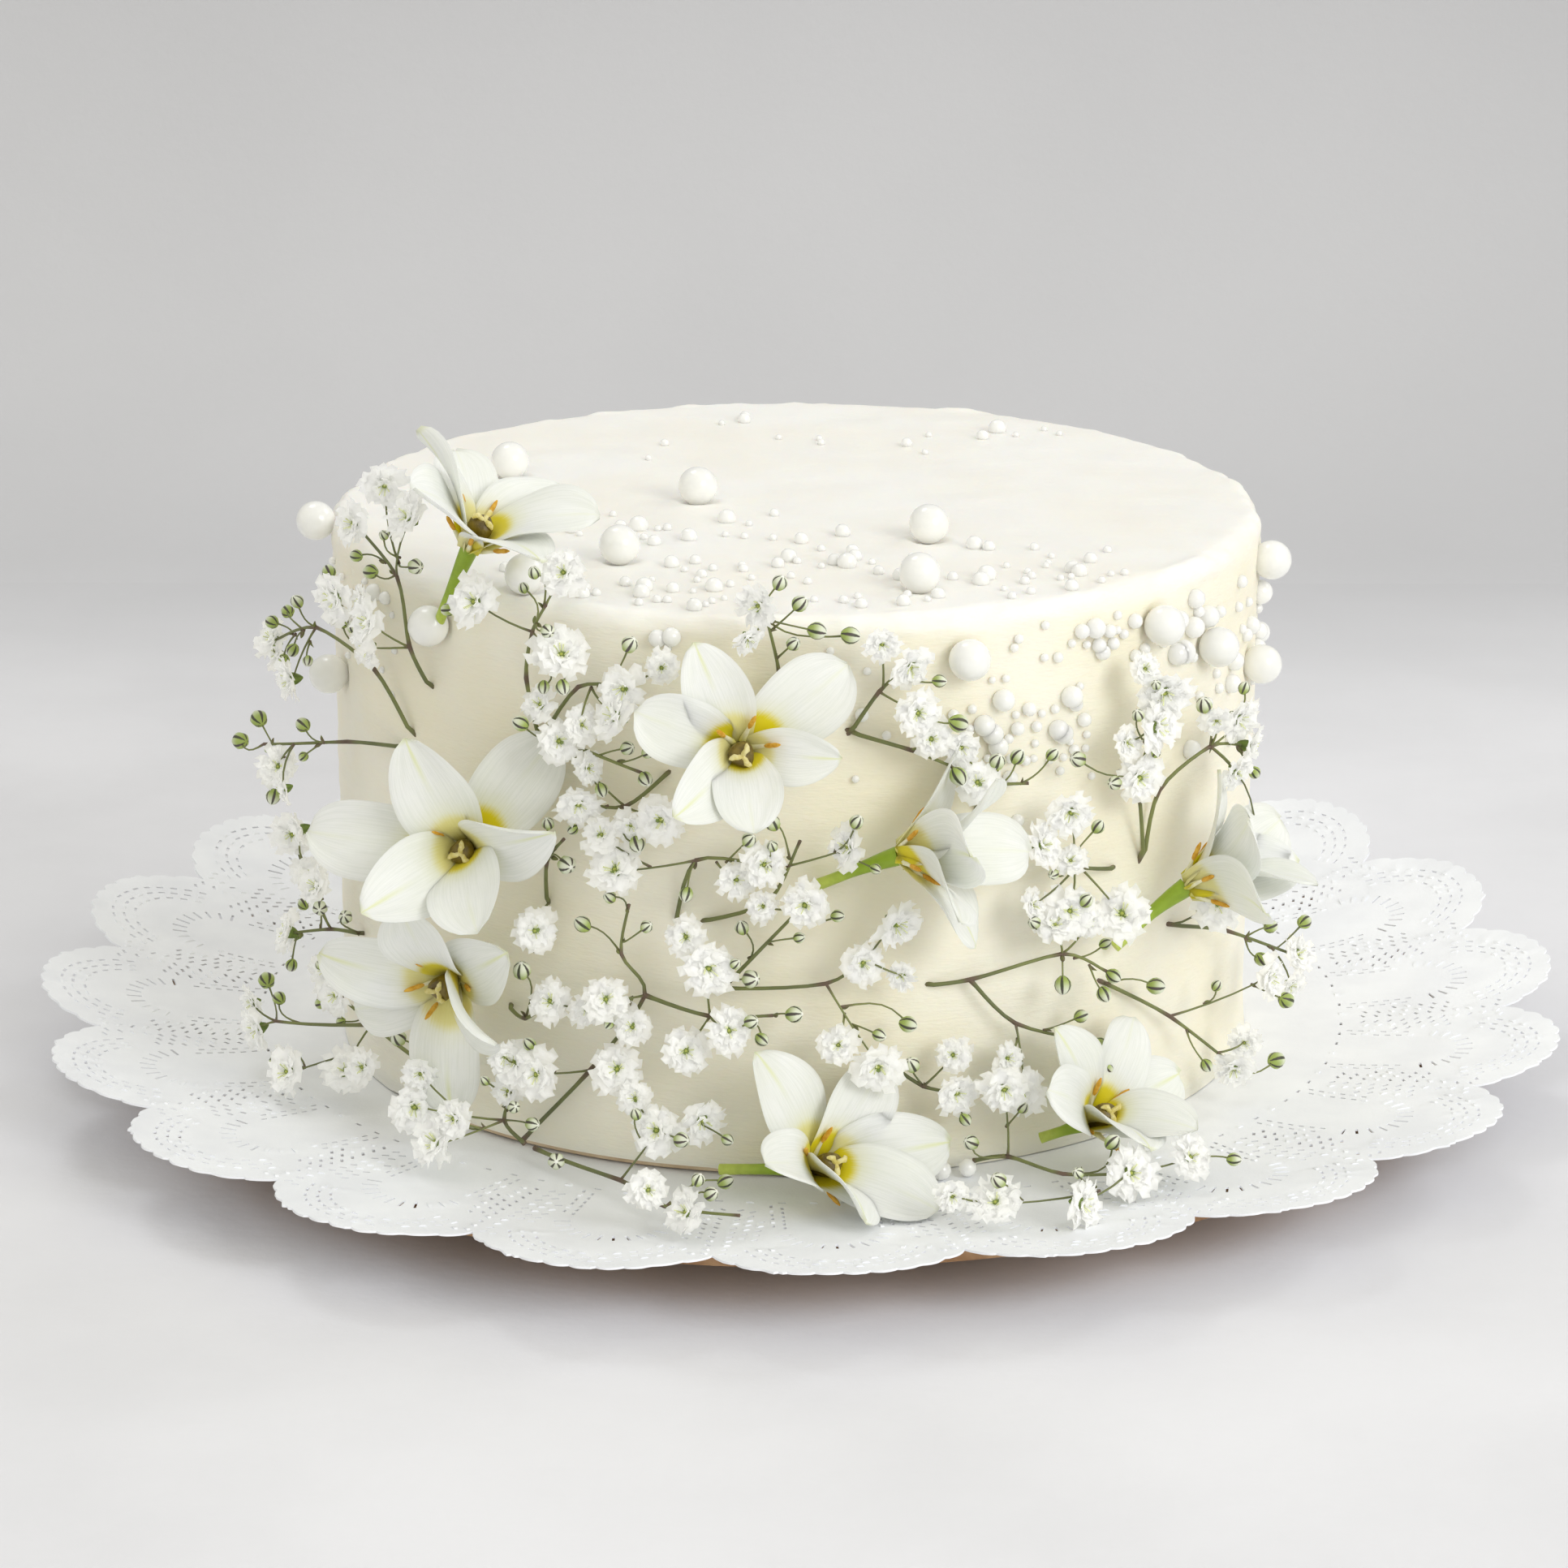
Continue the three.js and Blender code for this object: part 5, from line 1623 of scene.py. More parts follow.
# %% Sprig plans
# Each sprig has its stems, then the places of its flowers, then those of its buds. Every
# place is arc, height and distance out from the icing.
SPRIGS = {
    "rim_left": (
        [[(-83, 94, 1), (-84, 103, 5), (-85, 118, 7), (-96, 127, 9)]],
        [(-97, 128, 11), (-88, 108, 11), (-74, 133, 13), (-84, 138, 10)],
        [(-77, 122, 9), (-91, 118, 9)]),
    "far_left": (
        [[(-89, 82, 1), (-99, 95, 4), (-116, 100, 9), (-132, 93, 14)]],
        [(-134, 92, 16), (-120, 88, 13), (-103, 110, 9)],
        [(-108, 114, 9), (-116, 106, 13), (-129, 98, 15)]),
    "left": (
        [[(-93, 79, 1), (-108, 77, 6), (-127, 72, 18)]], [(-123, 68, 16)],
        [(-133, 71, 22), (-132, 76, 18)]),
    "upper": (
        [[(-53, 88, 1), (-54, 102, 4), (-50, 113, 8), (-45, 120, 12)], [(-53, 88, 1),
         (-42, 102, 5), (-31, 104, 8)]],
        [(-41, 127, 12), (-60, 118, 11), (-43, 109, 10), (-30, 105, 10), (-32, 98, 10)],
        [(-30, 113, 9)]),
    "middle_left": (
        [[(-25, 85, 1), (-33, 78, 4), (-41, 79, 8)]], [(-42, 79, 10), (-24, 78, 9)],
        [(-29, 72, 9)]),
    "beside_blossom": (
        [[(-43, 84, 1), (-43, 90, 6), (-28, 87, 9)]], [(-44, 92, 10)], [(-27, 86, 10)]),
    "thin_left": (
        [[(-52, 54, 1), (-50, 64, 4), (-44, 71, 8)]], [(-50, 51, 9)], [(-43, 66, 9)]),
    "centre": (
        [[(-24, 53, 1), (-19, 68, 4), (-5, 69, 8)]], [(-4, 68, 10), (-33, 66, 9)],
        [(-20, 62, 8)]),
    "crossing": (
        [[(-19, 54, 1), (-5, 60, 4), (1, 74, 8)]], [(10, 73, 10)], [(-4, 78, 9)]),
    "rising": (
        [[(-58, 2, 2), (-41, 21, 4), (-29, 39, 5), (-33, 48, 7), (-31, 59, 8)], [(-29, 39, 5),
         (-16, 36, 6), (-4, 37, 7)]],
        [(-35, 39, 10), (-20, 30, 10), (-12, 35, 11), (-49, 21, 10), (-33, 24, 9),
         (-16, 48, 10)], [(-40, 54, 9), (0, 38, 9)]),
    "thick_left": (
        [[(-62, 30, 1), (-55, 30, 5), (-47, 36, 8)]], [(-46, 37, 10)], [(-53, 42, 9)]),
    "level": (
        [[(-21, 41, 1), (-14, 41, 3), (6, 43, 5), (13, 49, 8)], [(-14, 41, 3), (2, 61, 8)]],
        [(13, 50, 10), (15, 28, 11), (2, 62, 11), (18, 57, 9)], [(-8, 45, 8), (21, 35, 9)]),
    "low_middle": (
        [[(19, 24, 1), (25, 20, 5), (31, 19, 8)]], [(31, 19, 9)], [(22, 26, 8)]),
    "right_middle": (
        [[(27, 40, 1), (35, 41, 3), (53, 45, 7), (62, 40, 9)], [(35, 41, 3), (44, 31, 5),
         (60, 25, 8)]], [(50, 52, 9), (44, 18, 9)], [(63, 39, 10), (61, 24, 9), (52, 39, 9)]),
    "right_long": (
        [[(68, 34, 1), (85, 23, 4), (99, 9, 11)]], [(101, 9, 13), (106, 27, 14)],
        [(112, 20, 16), (108, 8, 16), (76, 33, 8)]),
    "right_out": (
        [[(90, 41, 1), (103, 37, 6), (120, 27, 15)]], [(120, 26, 17), (93, 47, 9)],
        [(122, 34, 16), (112, 36, 12)]),
    "right_top": (
        [[(79, 58, 1), (81, 73, 3), (91, 81, 8), (98, 80, 12)], [(79, 58, 1), (73, 74, 5),
         (70, 80, 7)]], [(99, 79, 14), (69, 80, 9), (72, 90, 9), (75, 97, 9), (97, 86, 10)],
        [(55, 86, 8), (87, 91, 9), (101, 61, 13)]),
    "right_centre": (
        [[(71, 58, 1), (58, 62, 5), (47, 69, 8)]],
        [(46, 70, 9), (53, 76, 9), (53, 55, 9), (64, 52, 11)], [(60, 71, 8)]),
    "upper_right": (
        [[(11, 94, 1), (16, 103, 4), (21, 109, 7)], [(11, 94, 1), (22, 91, 5), (29, 88, 8)]],
        [(22, 110, 9), (22, 100, 9)], [(30, 97, 9), (30, 86, 9)]),
    "top_front": (
        [[(-4, 101, 1), (-3, 107, 3), (-5, 119, 8)]], [(-6, 122, 9)],
        [(10, 116, 9), (4, 117, 9)]),
    "behind_right": (
        [[(37, 76, 1), (37, 82, 5), (44, 83, 9)]], [(34, 84, 8)], [(38, 88, 8)]),
    "lower_left": (
        [[(-91, 11, 1), (-102, 16, 5), (-110, 21, 9)], [(-102, 16, 5), (-121, 12, 19)]],
        [(-111, 22, 10), (-101, 7, 12), (-106, 7, 22), (-123, 10, 22)],
        [(-90, 17, 6), (-134, 16, 18)]),
    "left_low": (
        [[(-117, 31, 1), (-122, 31, 6), (-130, 28, 13)]],
        [(-131, 28, 15), (-116, 43, 10), (-129, 51, 12)], [(-107, 39, 8)]),
    "foot_left": (
        [[(-55, 3, 6), (-57, 9, 10), (-54, 18, 10)]],
        [(-54, 22, 10), (-62, 7, 24), (-75, 9, 15)], [(-50, 10, 11)]),
    "foot": (
        [[(-52, 3, 7), (-30, 4, 18), (-20, 4, 29), (-8, 5, 34)]],
        [(-15, 7, 39), (-24, 14, 14), (-17, 16, 11)], [(-11, 8, 24), (-41, 7, 20)]),
    "foot_right": (
        [[(35, 3, 6), (40, 5, 11), (45, 5, 24), (52, 7, 34)]],
        [(62, 8, 36), (38, 21, 13), (52, 8, 36), (40, 7, 43), (29, 7, 38)],
        [(67, 8, 42), (32, 10, 13)]),
}
print(len(SPRIGS), "sprigs")

# %% [markdown]
# A real sprig forks again and again, and each fork leans with the growth. So a shoot doesn't
# leave its stem at the nearest point, but a little further back, which gives the slant. Where
# a flower already touches a stem, it needs no shoot of its own.

# %% Layout of a sprig, by the rule of the solids
STALK_R = 0.75
SHOOT_R = 0.5
SLANT = 1.1
TOUCHING = 3


def part_way(start, end, share):
    """The place at a share of the way from one place to another."""
    return tuple(start[k] + (end[k] - start[k]) * share for k in range(3))


def nearest_foot(stems, spot):
    """The point of the stems so far from which a shoot reaches a spot soonest."""
    best = None
    for places, _ in stems:
        for start, end in zip(places, places[1:]):
            long = math.dist(start, end)
            along = sum((spot[k] - start[k]) * (end[k] - start[k]) for k in range(3)) / long
            aside = math.sqrt(max(0.0, math.dist(start, spot) ** 2 - along * along))
            share = min(1.0, max(0.0, (along - SLANT * aside) / long))
            foot = part_way(start, end, share)
            reach = math.dist(foot, spot)
            if best is None or reach < best[1]:
                best = (foot, reach)
    return best


def lay_out(plan, seed):
    """Stems, flowers and buds of one sprig, each place as arc, height and distance out."""
    stalks, flower_spots, bud_spots = plan
    draw = seeded(seed)
    stems = [(list(stalk), STALK_R) for stalk in stalks]
    flowers = []
    for spot in flower_spots:
        foot, reach = nearest_foot(stems, spot)
        if reach > TOUCHING:
            stems.append(([foot, spot], SHOOT_R))
        place = spot if reach > TOUCHING else foot
        flowers.append((place, 0.88 + 0.24 * draw(), draw()))
    buds = []
    for tip in bud_spots:
        foot, _ = nearest_foot(stems, tip)
        buds.append((foot, tip, 0.85 + 0.3 * draw()))
    return stems, flowers, buds


# %% [markdown]
# The solids hold the main flowers and buds. A real sprig has more of both, finer and closer
# together, so side buds are drawn on every stem, and a smaller flower beside about half of
# the main ones. A place that would crowd a flower, a bud, a blossom or a pearl is dropped.

# %% More buds than the solids hold
MORE_SEED = 701
MORE_PER_STEM = 2
MORE_REACH = 6.0
BUD_CLEAR = 4
KEEP_OFF = 5.5
LOWEST_BUD = 5
HIGHEST_BUD = 135
LEAST_OUT = 2.5


def more_buds(stems, flowers, buds, seed):
    """Fine side buds, drawn on each stem and clear of the flowers."""
    draw = seeded(seed)
    made = []
    for places, radius in stems:
        start, end = places[-2], places[-1]
        many = MORE_PER_STEM + (1 if radius > SHOOT_R else 0)
        for _ in range(many):
            share = 0.25 + 0.6 * draw()
            foot = part_way(start, end, share)
            heading = math.atan2(end[1] - start[1], end[0] - start[0])
            turn = heading + (0.5 + 0.5 * draw()) * (1 if draw() > 0.5 else -1)
            reach = MORE_REACH * (0.7 + 0.7 * draw())
            tip = (foot[0] + reach * math.cos(turn), foot[1] + reach * math.sin(turn),
                   foot[2] + 1.5 + 2.5 * draw())
            size = 0.6 + 0.4 * draw()
            clear = all(math.dist(tip, place) > KEEP_OFF for place, _, _ in flowers)
            apart = all(math.dist(tip, other[1]) > BUD_CLEAR for other in buds + made)
            beside_icing = LOWEST_BUD < tip[1] < HIGHEST_BUD and tip[2] > LEAST_OUT
            if clear and apart and beside_icing:
                made.append((foot, tip, size))
    return made


# %% Smaller flowers beside the ones of the solids
BESIDE_SEED = 811
BESIDE_SHARE = 0.5
BESIDE_REACH = 6.4
BESIDE_TRIES = 9
FLOWER_CLEAR = 8
BLOSSOM_CLEAR = 19
PEARL_CLEAR = 10
LOWEST_FLOWER = 9
HIGHEST_FLOWER = 116


def more_flowers(stems, flowers, buds, seed):
    """A smaller flower beside about half of them, on a shoot of its own."""
    draw = seeded(seed)
    shoots, made = [], []
    for place, _, _ in flowers:
        if draw() > BESIDE_SHARE:
            continue
        for _ in range(BESIDE_TRIES):
            turn, reach = math.tau * draw(), BESIDE_REACH + 1.8 * draw()
            spot = (place[0] + reach * math.cos(turn), place[1] + reach * math.sin(turn),
                    max(4.0, place[2] + 3 * (draw() - 0.6)))
            others = [other for other, _, _ in flowers + made if other is not place]
            flat = spot[:2]
            clear = (
                all(math.dist(spot, other) > FLOWER_CLEAR for other in others)
                and all(math.dist(spot, tip) > BUD_CLEAR for _, tip, _ in buds)
                and all(math.dist(flat, plan["at"][:2]) > BLOSSOM_CLEAR for plan in BLOSSOMS)
                and all(math.dist(flat, pearl) > PEARL_CLEAR for pearl in BIG_ON_SIDE)
                and LOWEST_FLOWER < spot[1] < HIGHEST_FLOWER)
            if clear:
                foot, _ = nearest_foot(stems, spot)
                shoots.append(([foot, spot], SHOOT_R))
                made.append((spot, 0.62 + 0.2 * draw(), draw()))
                break
    return shoots, made


# %% [markdown]
# ## Shapes of the small flowers and buds
# Under a lens a small double flower is three whorls of spoon-shaped petals with a notched
# end, crowded round a green heart over a tiny cup. Five variants are enough that no two
# neighbours look alike. A bud is a small globe striped dark and white, in the same cup.


# %% Small flower variants
def spoon_width(half):
    """Half the width along a spoon-shaped petal."""
    def wide(share):
        if share < 0.72:
            return half * (0.3 + 0.7 * (share / 0.72) ** 1.4)
        beyond = (share - 0.72) / 0.28
        return half * max(0.3, (1 - 0.9 * beyond ** 2) ** 0.5)
    return wide


# Each whorl has its number of petals, their length, lean and curl, and half their width.
WHORLS = ((7, 5.4, 78, 16, 2.3), (6, 4.5, 60, 24, 2.0), (5, 3.3, 36, 26, 1.4))
HEART = [(0.2, 1.4), (0.55, 1.8), (0.5, 2.4), (0.2, 2.8)]
HEART_MARK = 0.2
STYLES = 6
STYLE_MARK = 0.31
CUP = [(0.25, -0.6), (0.75, 0.0), (1.25, 0.9), (1.45, 1.9), (1.3, 2.6)]
STRIPES = 5
ROSETTES = 5
ROSETTE_RISE = 1.6


def striped(across):
    """A mark that swings between 0 and 1 once for each stripe."""
    return 0.5 + 0.5 * np.cos(STRIPES * math.tau * across)


def rosette_mesh(seed):
    """A small double flower that faces +Z, its calyx at the origin."""
    draw = seeded(seed)
    parts = Parts()
    for whorl, (count, long, lean, curl, half) in enumerate(WHORLS):
        for i in range(count):
            shape = dict(
                long=long * (0.86 + 0.24 * draw()),
                lean=math.radians(lean + 24 * (draw() - 0.5)),
                curl=math.radians(curl + 22 * (draw() - 0.5)), cup=0.3 * draw(),
                wide=spoon_width(half * (0.85 + 0.3 * draw())), roll=0.9 * (draw() - 0.5),
                wave=0.6, phase=math.tau * draw(), thick=0.22, start=0.35,
                notch=0.1 + 0.2 * draw(),
            )
            corners, faces, along, across = petal(shape, 6, 5)
            turn = math.tau * (i + 0.35 * draw() + 0.5 * whorl) / count
            corners = spun(corners, turn) + np.array((0, 0, ROSETTE_RISE))
            parts.add(corners, faces, 0, 0.3 + 0.7 * along, across)
    corners, faces, _, across = lathe_part(HEART, 7)
    parts.add(corners, faces, 0, HEART_MARK, across)
    for i in range(STYLES):
        turn = math.tau * i / STYLES + draw()
        tip = Vector((1.0 + 0.6 * draw(), 0, 3.6 + 0.8 * draw()))
        path = [Vector((0.4, 0, 2.2)), Vector((0.7, 0, 3.0)), tip]
        corners, faces, _, across = tube_part(path, [0.13, 0.11, 0.16], 4)
        parts.add(spun(corners, turn), faces, 0, STYLE_MARK, across)
    corners, faces, along, across = lathe_part(
        CUP, 10, lambda turn, share: 1 + 0.12 * share * math.cos(STRIPES * turn))
    parts.add(corners, faces, 0, 0.1 * along, striped(across))
    return parts.mesh(f"rosette_{seed}", [], crease=60)


# %% Buds and scale leaves
BUD_PROFILE = [(0.25, -0.15), (0.62, 0.12), (0.92, 0.55), (1.0, 1.0), (0.88, 1.45),
               (0.6, 1.82), (0.28, 2.02), (0.08, 2.12)]


def bud_mesh():
    """A striped bud with its foot at the origin, along +Z, for a radius of one."""
    corners, faces, along, across = lathe_part(
        BUD_PROFILE, 20, lambda turn, share: 1 + 0.06 * math.cos(STRIPES * turn))
    parts = Parts()
    parts.add(corners, faces, 0, along, striped(across))
    return parts.mesh("bud", [], crease=60)


def bract_mesh():
    """A tiny pointed scale leaf where a shoot leaves the stem."""
    shape = dict(long=1.0, lean=0.45, curl=0.3, cup=0.6, wave=0.0, phase=0.0, thick=0.12,
                 start=0.1, wide=lambda s: 0.28 * math.sin(math.pi * (0.12 + 0.84 * s)) ** 0.8)
    parts = Parts()
    parts.add_part(petal(shape, 5, 3))
    return parts.mesh("bract", [], crease=60)


# %% [markdown]
# The small flowers are the whitest thing on the cake, because each is a crowd of thin petals
# that pass light to one another. Light under the surface does most of that, and a very faint
# glow stands for the rest. The same marks that shape them say where the heart is green, where
# a bud has its stripes and where a stem has a brown knot.

# %% Finishes of the sprigs
def rosette_finish():
    """White petals, a pale green heart and a dark cup, by the marks."""
    material, tree, shader = finish(
        "small flower", 0.6, Subsurface_Weight=0.7, Subsurface_Scale=0.002,
        Subsurface_Radius=(1.0, 1.0, 0.95), Specular_IOR_Level=0.25, Emission_Strength=0.1)
    along, across = mark(tree, "along"), mark(tree, "across")
    veins = vein_height(tree)
    white = blend(tree, between(tree, veins, 0.3, 0.7), (248, 248, 244), (254, 254, 251))
    inner = blend(tree, between(tree, along, 0.32, 0.5), (232, 237, 190), white)
    heart = blend(tree, between(tree, along, 0.26, 0.36), (168, 178, 84), inner)
    dark = blend(tree, product(tree, across, 0.6), (112, 132, 60), (70, 80, 50))
    tint = blend(tree, between(tree, along, 0.1, 0.2), dark, heart)
    tinted(tree, shader, tint)
    tree.links.new(tint, shader.inputs["Emission Color"])
    bumped(tree, shader, veins, 0.1, 0.5)
    return material


def bud_finish():
    """Dark and pale stripes that fade into a pale tip."""
    material, tree, shader = finish(
        "striped bud", 0.5, Subsurface_Weight=0.15, Subsurface_Scale=0.001,
        Subsurface_Radius=(1.0, 1.0, 0.8))
    along, across = mark(tree, "along"), mark(tree, "across")
    shade = blend(tree, mottled(tree, 900), (62, 70, 44), (84, 72, 72))
    pale = blend(tree, between(tree, along, 0.2, 0.7), (160, 178, 92), (222, 226, 206))
    stripes = blend(tree, between(tree, across, 0.2, 0.42), shade, pale)
    tip = between(tree, along, 0.82, 0.95)
    tinted(tree, shader, blend(tree, tip, stripes, (238, 238, 230)))
    relieved(tree, shader, 2200, 0.04)
    return material


def stem_finish():
    """Dull green wood with brown knots."""
    material, tree, shader = finish("stem", 0.55)
    green = blend(tree, mottled(tree, 60), (98, 104, 66), (128, 134, 78))
    brown = blend(tree, mottled(tree, 300), (92, 76, 60), (112, 92, 78))
    knots = between(tree, mark(tree, "knot"), 0.15, 0.9)
    tinted(tree, shader, blend(tree, knots, green, brown))
    relieved(tree, shader, 1600, 0.06, (1, 1, 0.4))
    return material


ROSETTE = rosette_finish()
BUD = bud_finish()
STEM = stem_finish()
BRACT = plain_finish("bract", (120, 128, 70), (98, 84, 66), 900, 0.6)
ROSETTE_SHAPES = shape_store("rosette", [rosette_mesh(61 + 7 * i) for i in range(ROSETTES)])
BUD_SHAPES = shape_store("bud", [bud_mesh()])
BRACT_SHAPES = shape_store("bract", [bract_mesh()])

# %% [markdown]
# ## Stems
# A stem is a thin round rod that tapers and swells at its knots. Lines of points carry their
# own radius, and a second tree wraps a small circle along each of them. That keeps the rods
# even however the line bends.

# %% Tree that makes rods from lines
STEM_SIDES = 7


def rods_tree():
    """A round rod along each line, as thick as the line's marks say."""
    tree, given, result = new_tree("rods along lines", ("Sides", "Int"))
    curve = put(tree, "GeometryNodeMeshToCurve", {"Mesh": given["Geometry"]})
    ring = put(tree, "GeometryNodeCurvePrimitiveCircle", {
        "Resolution": given["Sides"], "Radius": 1.0})
    rods = put(tree, "GeometryNodeCurveToMesh", {
        "Curve": curve.outputs[0], "Profile Curve": ring.outputs[0],
        "Scale": read_mark(tree, "thick"), "Fill Caps": True})
    made_real(tree, rods.outputs[0], given["Finish"], result)
    return tree


RODS = rods_tree()

# %% [markdown]
# A twig's line is softened at its bends but keeps some of its angles, since twigs do. Stalks
# that spring from the cake start inside the icing, a free shoot sags a little, and a bud's
# stalk bows to one side. Each point carries a radius, thicker at every fifth point for a knot.

# %% Lines of the stems
THIN_STALK = 0.6
THIN_SHOOT = 0.5
BUD_STALK_R = 0.42
THIN_BUD_STALK = 0.5
ROUNDING = 0.2
BURIED = 1.6
ROOTED_OUT = 2
ROOTED_UP = 8
BOW = 0.4
STEPS = 5
KNOT_SWELL = 1.25
BUD_STALK_TAPER = (1.5, 1.05, 0.9, 0.85, 0.85, 0.95, 1.3)
BUD_STALK_KNOTS = [0.9, 0.2, 0.0, 0.0, 0.0, 0.0, 0.1]


def jitter(draw):
    """A small random move, up to half a unit each way."""
    return Vector([draw() - 0.5 for _ in range(3)])


def eased(places, steps):
    """A line through places with its bends softened."""
    points = [Vector(place) for place in places]
    made = []
    for i in range(len(points) - 1):
        before = points[max(i - 1, 0)]
        start, end = points[i], points[i + 1]
        after = points[min(i + 2, len(points) - 1)]
        for k in range(steps):
            t = k / steps
            a = 2 * start
            b = (end - before) * t
            c = (2 * before - 5 * start + 4 * end - after) * t * t
            d = (3 * start - before - 3 * end + after) * t * t * t
            smooth = (a + b + c + d) / 2
            made.append(smooth.lerp(start.lerp(end, t), ROUNDING))
    made.append(points[-1])
    return made


def stem_lines(stems, buds, draw):
    """Lines of points with a radius and a knot mark each: stalks, shoots and bud stalks."""
    lines = []
    for places, radius in stems:
        line = [beside(p) for p in eased(places, STEPS)]
        if places[0][2] <= ROOTED_OUT and places[0][1] > ROOTED_UP:
            inward = -outward(places[0]) * BURIED + (line[0] - line[1]).normalized()
            line[0] = line[0] + inward
        if len(places) == 2:
            sag = outward(places[0]) * (0.6 + 0.6 * draw())
            line = [p + sag * math.sin(math.pi * i / (len(line) - 1))
                    for i, p in enumerate(line)]
        last = len(line) - 1
        slim = radius * (THIN_STALK if radius == STALK_R else THIN_SHOOT)
        knot = [0.1 if i % STEPS else 1.0 for i in range(last + 1)]
        thick = [slim * (1.05 - 0.4 * i / last) * (KNOT_SWELL if k > 0.5 else 1)
                 for i, k in enumerate(knot)]
        lines.append((line, thick, knot))
    for foot, tip, _ in buds:
        start, end = beside(foot), beside(tip)
        side = jitter(draw) * (BOW * (end - start).length)
        line = [start.lerp(end, k / 6) + side * math.sin(math.pi * k / 6) for k in range(7)]
        thick = [BUD_STALK_R * THIN_BUD_STALK * taper for taper in BUD_STALK_TAPER]
        lines.append((line, thick, BUD_STALK_KNOTS))
    return lines


# %% Rods along the lines
def rod_mesh(lines):
    """All the stems of a sprig as one mesh of rods."""
    corners, edges, thick, knot = [], [], [], []
    for line, radii, knots in lines:
        first = len(corners)
        corners.extend(tuple(p * MM) for p in line)
        edges.extend((first + i, first + i + 1) for i in range(len(line) - 1))
        thick.extend(r * MM for r in radii)
        knot.extend(knots)
    mesh = bpy.data.meshes.new("lines")
    mesh.from_pydata(corners, edges, [])
    put_mark(mesh, "thick", thick)
    put_mark(mesh, "knot", knot)
    made = run_tree(mesh, RODS, {"Sides": STEM_SIDES, "Finish": STEM})
    made.attributes.remove(made.attributes["thick"])
    made.shade_smooth()
    return made


# %% [markdown]
# Small flowers look out from the cake and forward, towards the light, each tilted its own
# way, and buds point along their stalks. With the rods they are joined into one mesh for each
# sprig, because a sprig is one thing to pick up.

# %% Putting a sprig together
SPRIG_SEED = 301
TURN_SEED = 901
FACE_UP = 0.25
FACE_FRONT = 0.7
TILT = 1.2
CALYX_BACK = 1.5
ROSETTE_SIZE = 1.08
BUD_R = 1.6


def facing(spot):
    """Where a flower at a place would look."""
    return (outward(spot) + Vector((0, -FACE_FRONT, FACE_UP))).normalized()


def turn_to(direction, spin=0.0):
    """The turn that points +Z in a direction, spun about it."""
    turn = direction.to_track_quat("Z", "Y") @ Quaternion((0, 0, 1), spin)
    return tuple(turn.to_euler())


def joined(meshes, name):
    """One mesh from several, each keeping its own finish."""
    holders = [placed("part", mesh) for mesh in meshes]
    with bpy.context.temp_override(
            active_object=holders[0], object=holders[0], selected_objects=holders,
            selected_editable_objects=holders):
        bpy.ops.object.join()
    mesh = holders[0].data
    mesh.name = name
    bpy.data.objects.remove(holders[0])
    return mesh


def sprig_mesh(name, plan, i):
    """One sprig: rods, small flowers, buds and scale leaves."""
    stems, flowers, buds = lay_out(plan, SPRIG_SEED + i)
    buds = buds + more_buds(stems, flowers, buds, MORE_SEED + i)
    shoots, small = more_flowers(stems, flowers, buds, BESIDE_SEED + i)
    stems, flowers = stems + shoots, flowers + small
    draw = seeded(TURN_SEED + i)
    rods = rod_mesh(stem_lines(stems, buds, draw))
    places, turns, sizes, kinds = [], [], [], []
    for place, size, spin in flowers:
        aim = facing(place) + jitter(draw) * TILT
        aim.normalize()
        places.append(beside(place) - aim * CALYX_BACK)
        turns.append(turn_to(aim, math.tau * spin))
        sizes.append(size * ROSETTE_SIZE)
        kinds.append(int(draw() * ROSETTES) % ROSETTES)
    rosettes = copies(places, turns, sizes, kinds, ROSETTE_SHAPES, ROSETTE)
    tips = [beside(tip) for _, tip, _ in buds]
    aims = [(beside(tip) - beside(foot)).normalized() for foot, tip, _ in buds]
    radii = [BUD_R * size for _, _, size in buds]
    one_kind = [0] * len(buds)
    globes = copies([tip - aim * r for tip, aim, r in zip(tips, aims, radii)],
                    [turn_to(aim, 6 * draw()) for aim in aims], radii, one_kind,
                    BUD_SHAPES, BUD)
    scales = copies([beside(foot) for foot, _, _ in buds],
                    [turn_to(aim, 6 * draw()) for aim in aims],
                    [1.4 + 0.6 * draw() for _ in buds], one_kind, BRACT_SHAPES, BRACT)
    return joined([rods, rosettes, globes, scales], name)


for i, (name, plan) in enumerate(SPRIGS.items()):
    mesh = sprig_mesh(f"sprig_{name}_fresh", plan, i)
    show(mesh.name, mesh, "sprig", "sprig_" + name)

# %% [markdown]
# ## Stage and light
# The cake stands on a pale floor before a plain grey wall, both of them only stage. They are
# one surface that sweeps up in a cove, as in a photographer's studio, so no line shows where
# floor and wall meet. From its back the surface can be seen through, because the cake is
# also looked at from behind.


# %% Floor and backdrop
STRIP_HALF = 3.0
PAINTED_SHADE_TO = 0.6


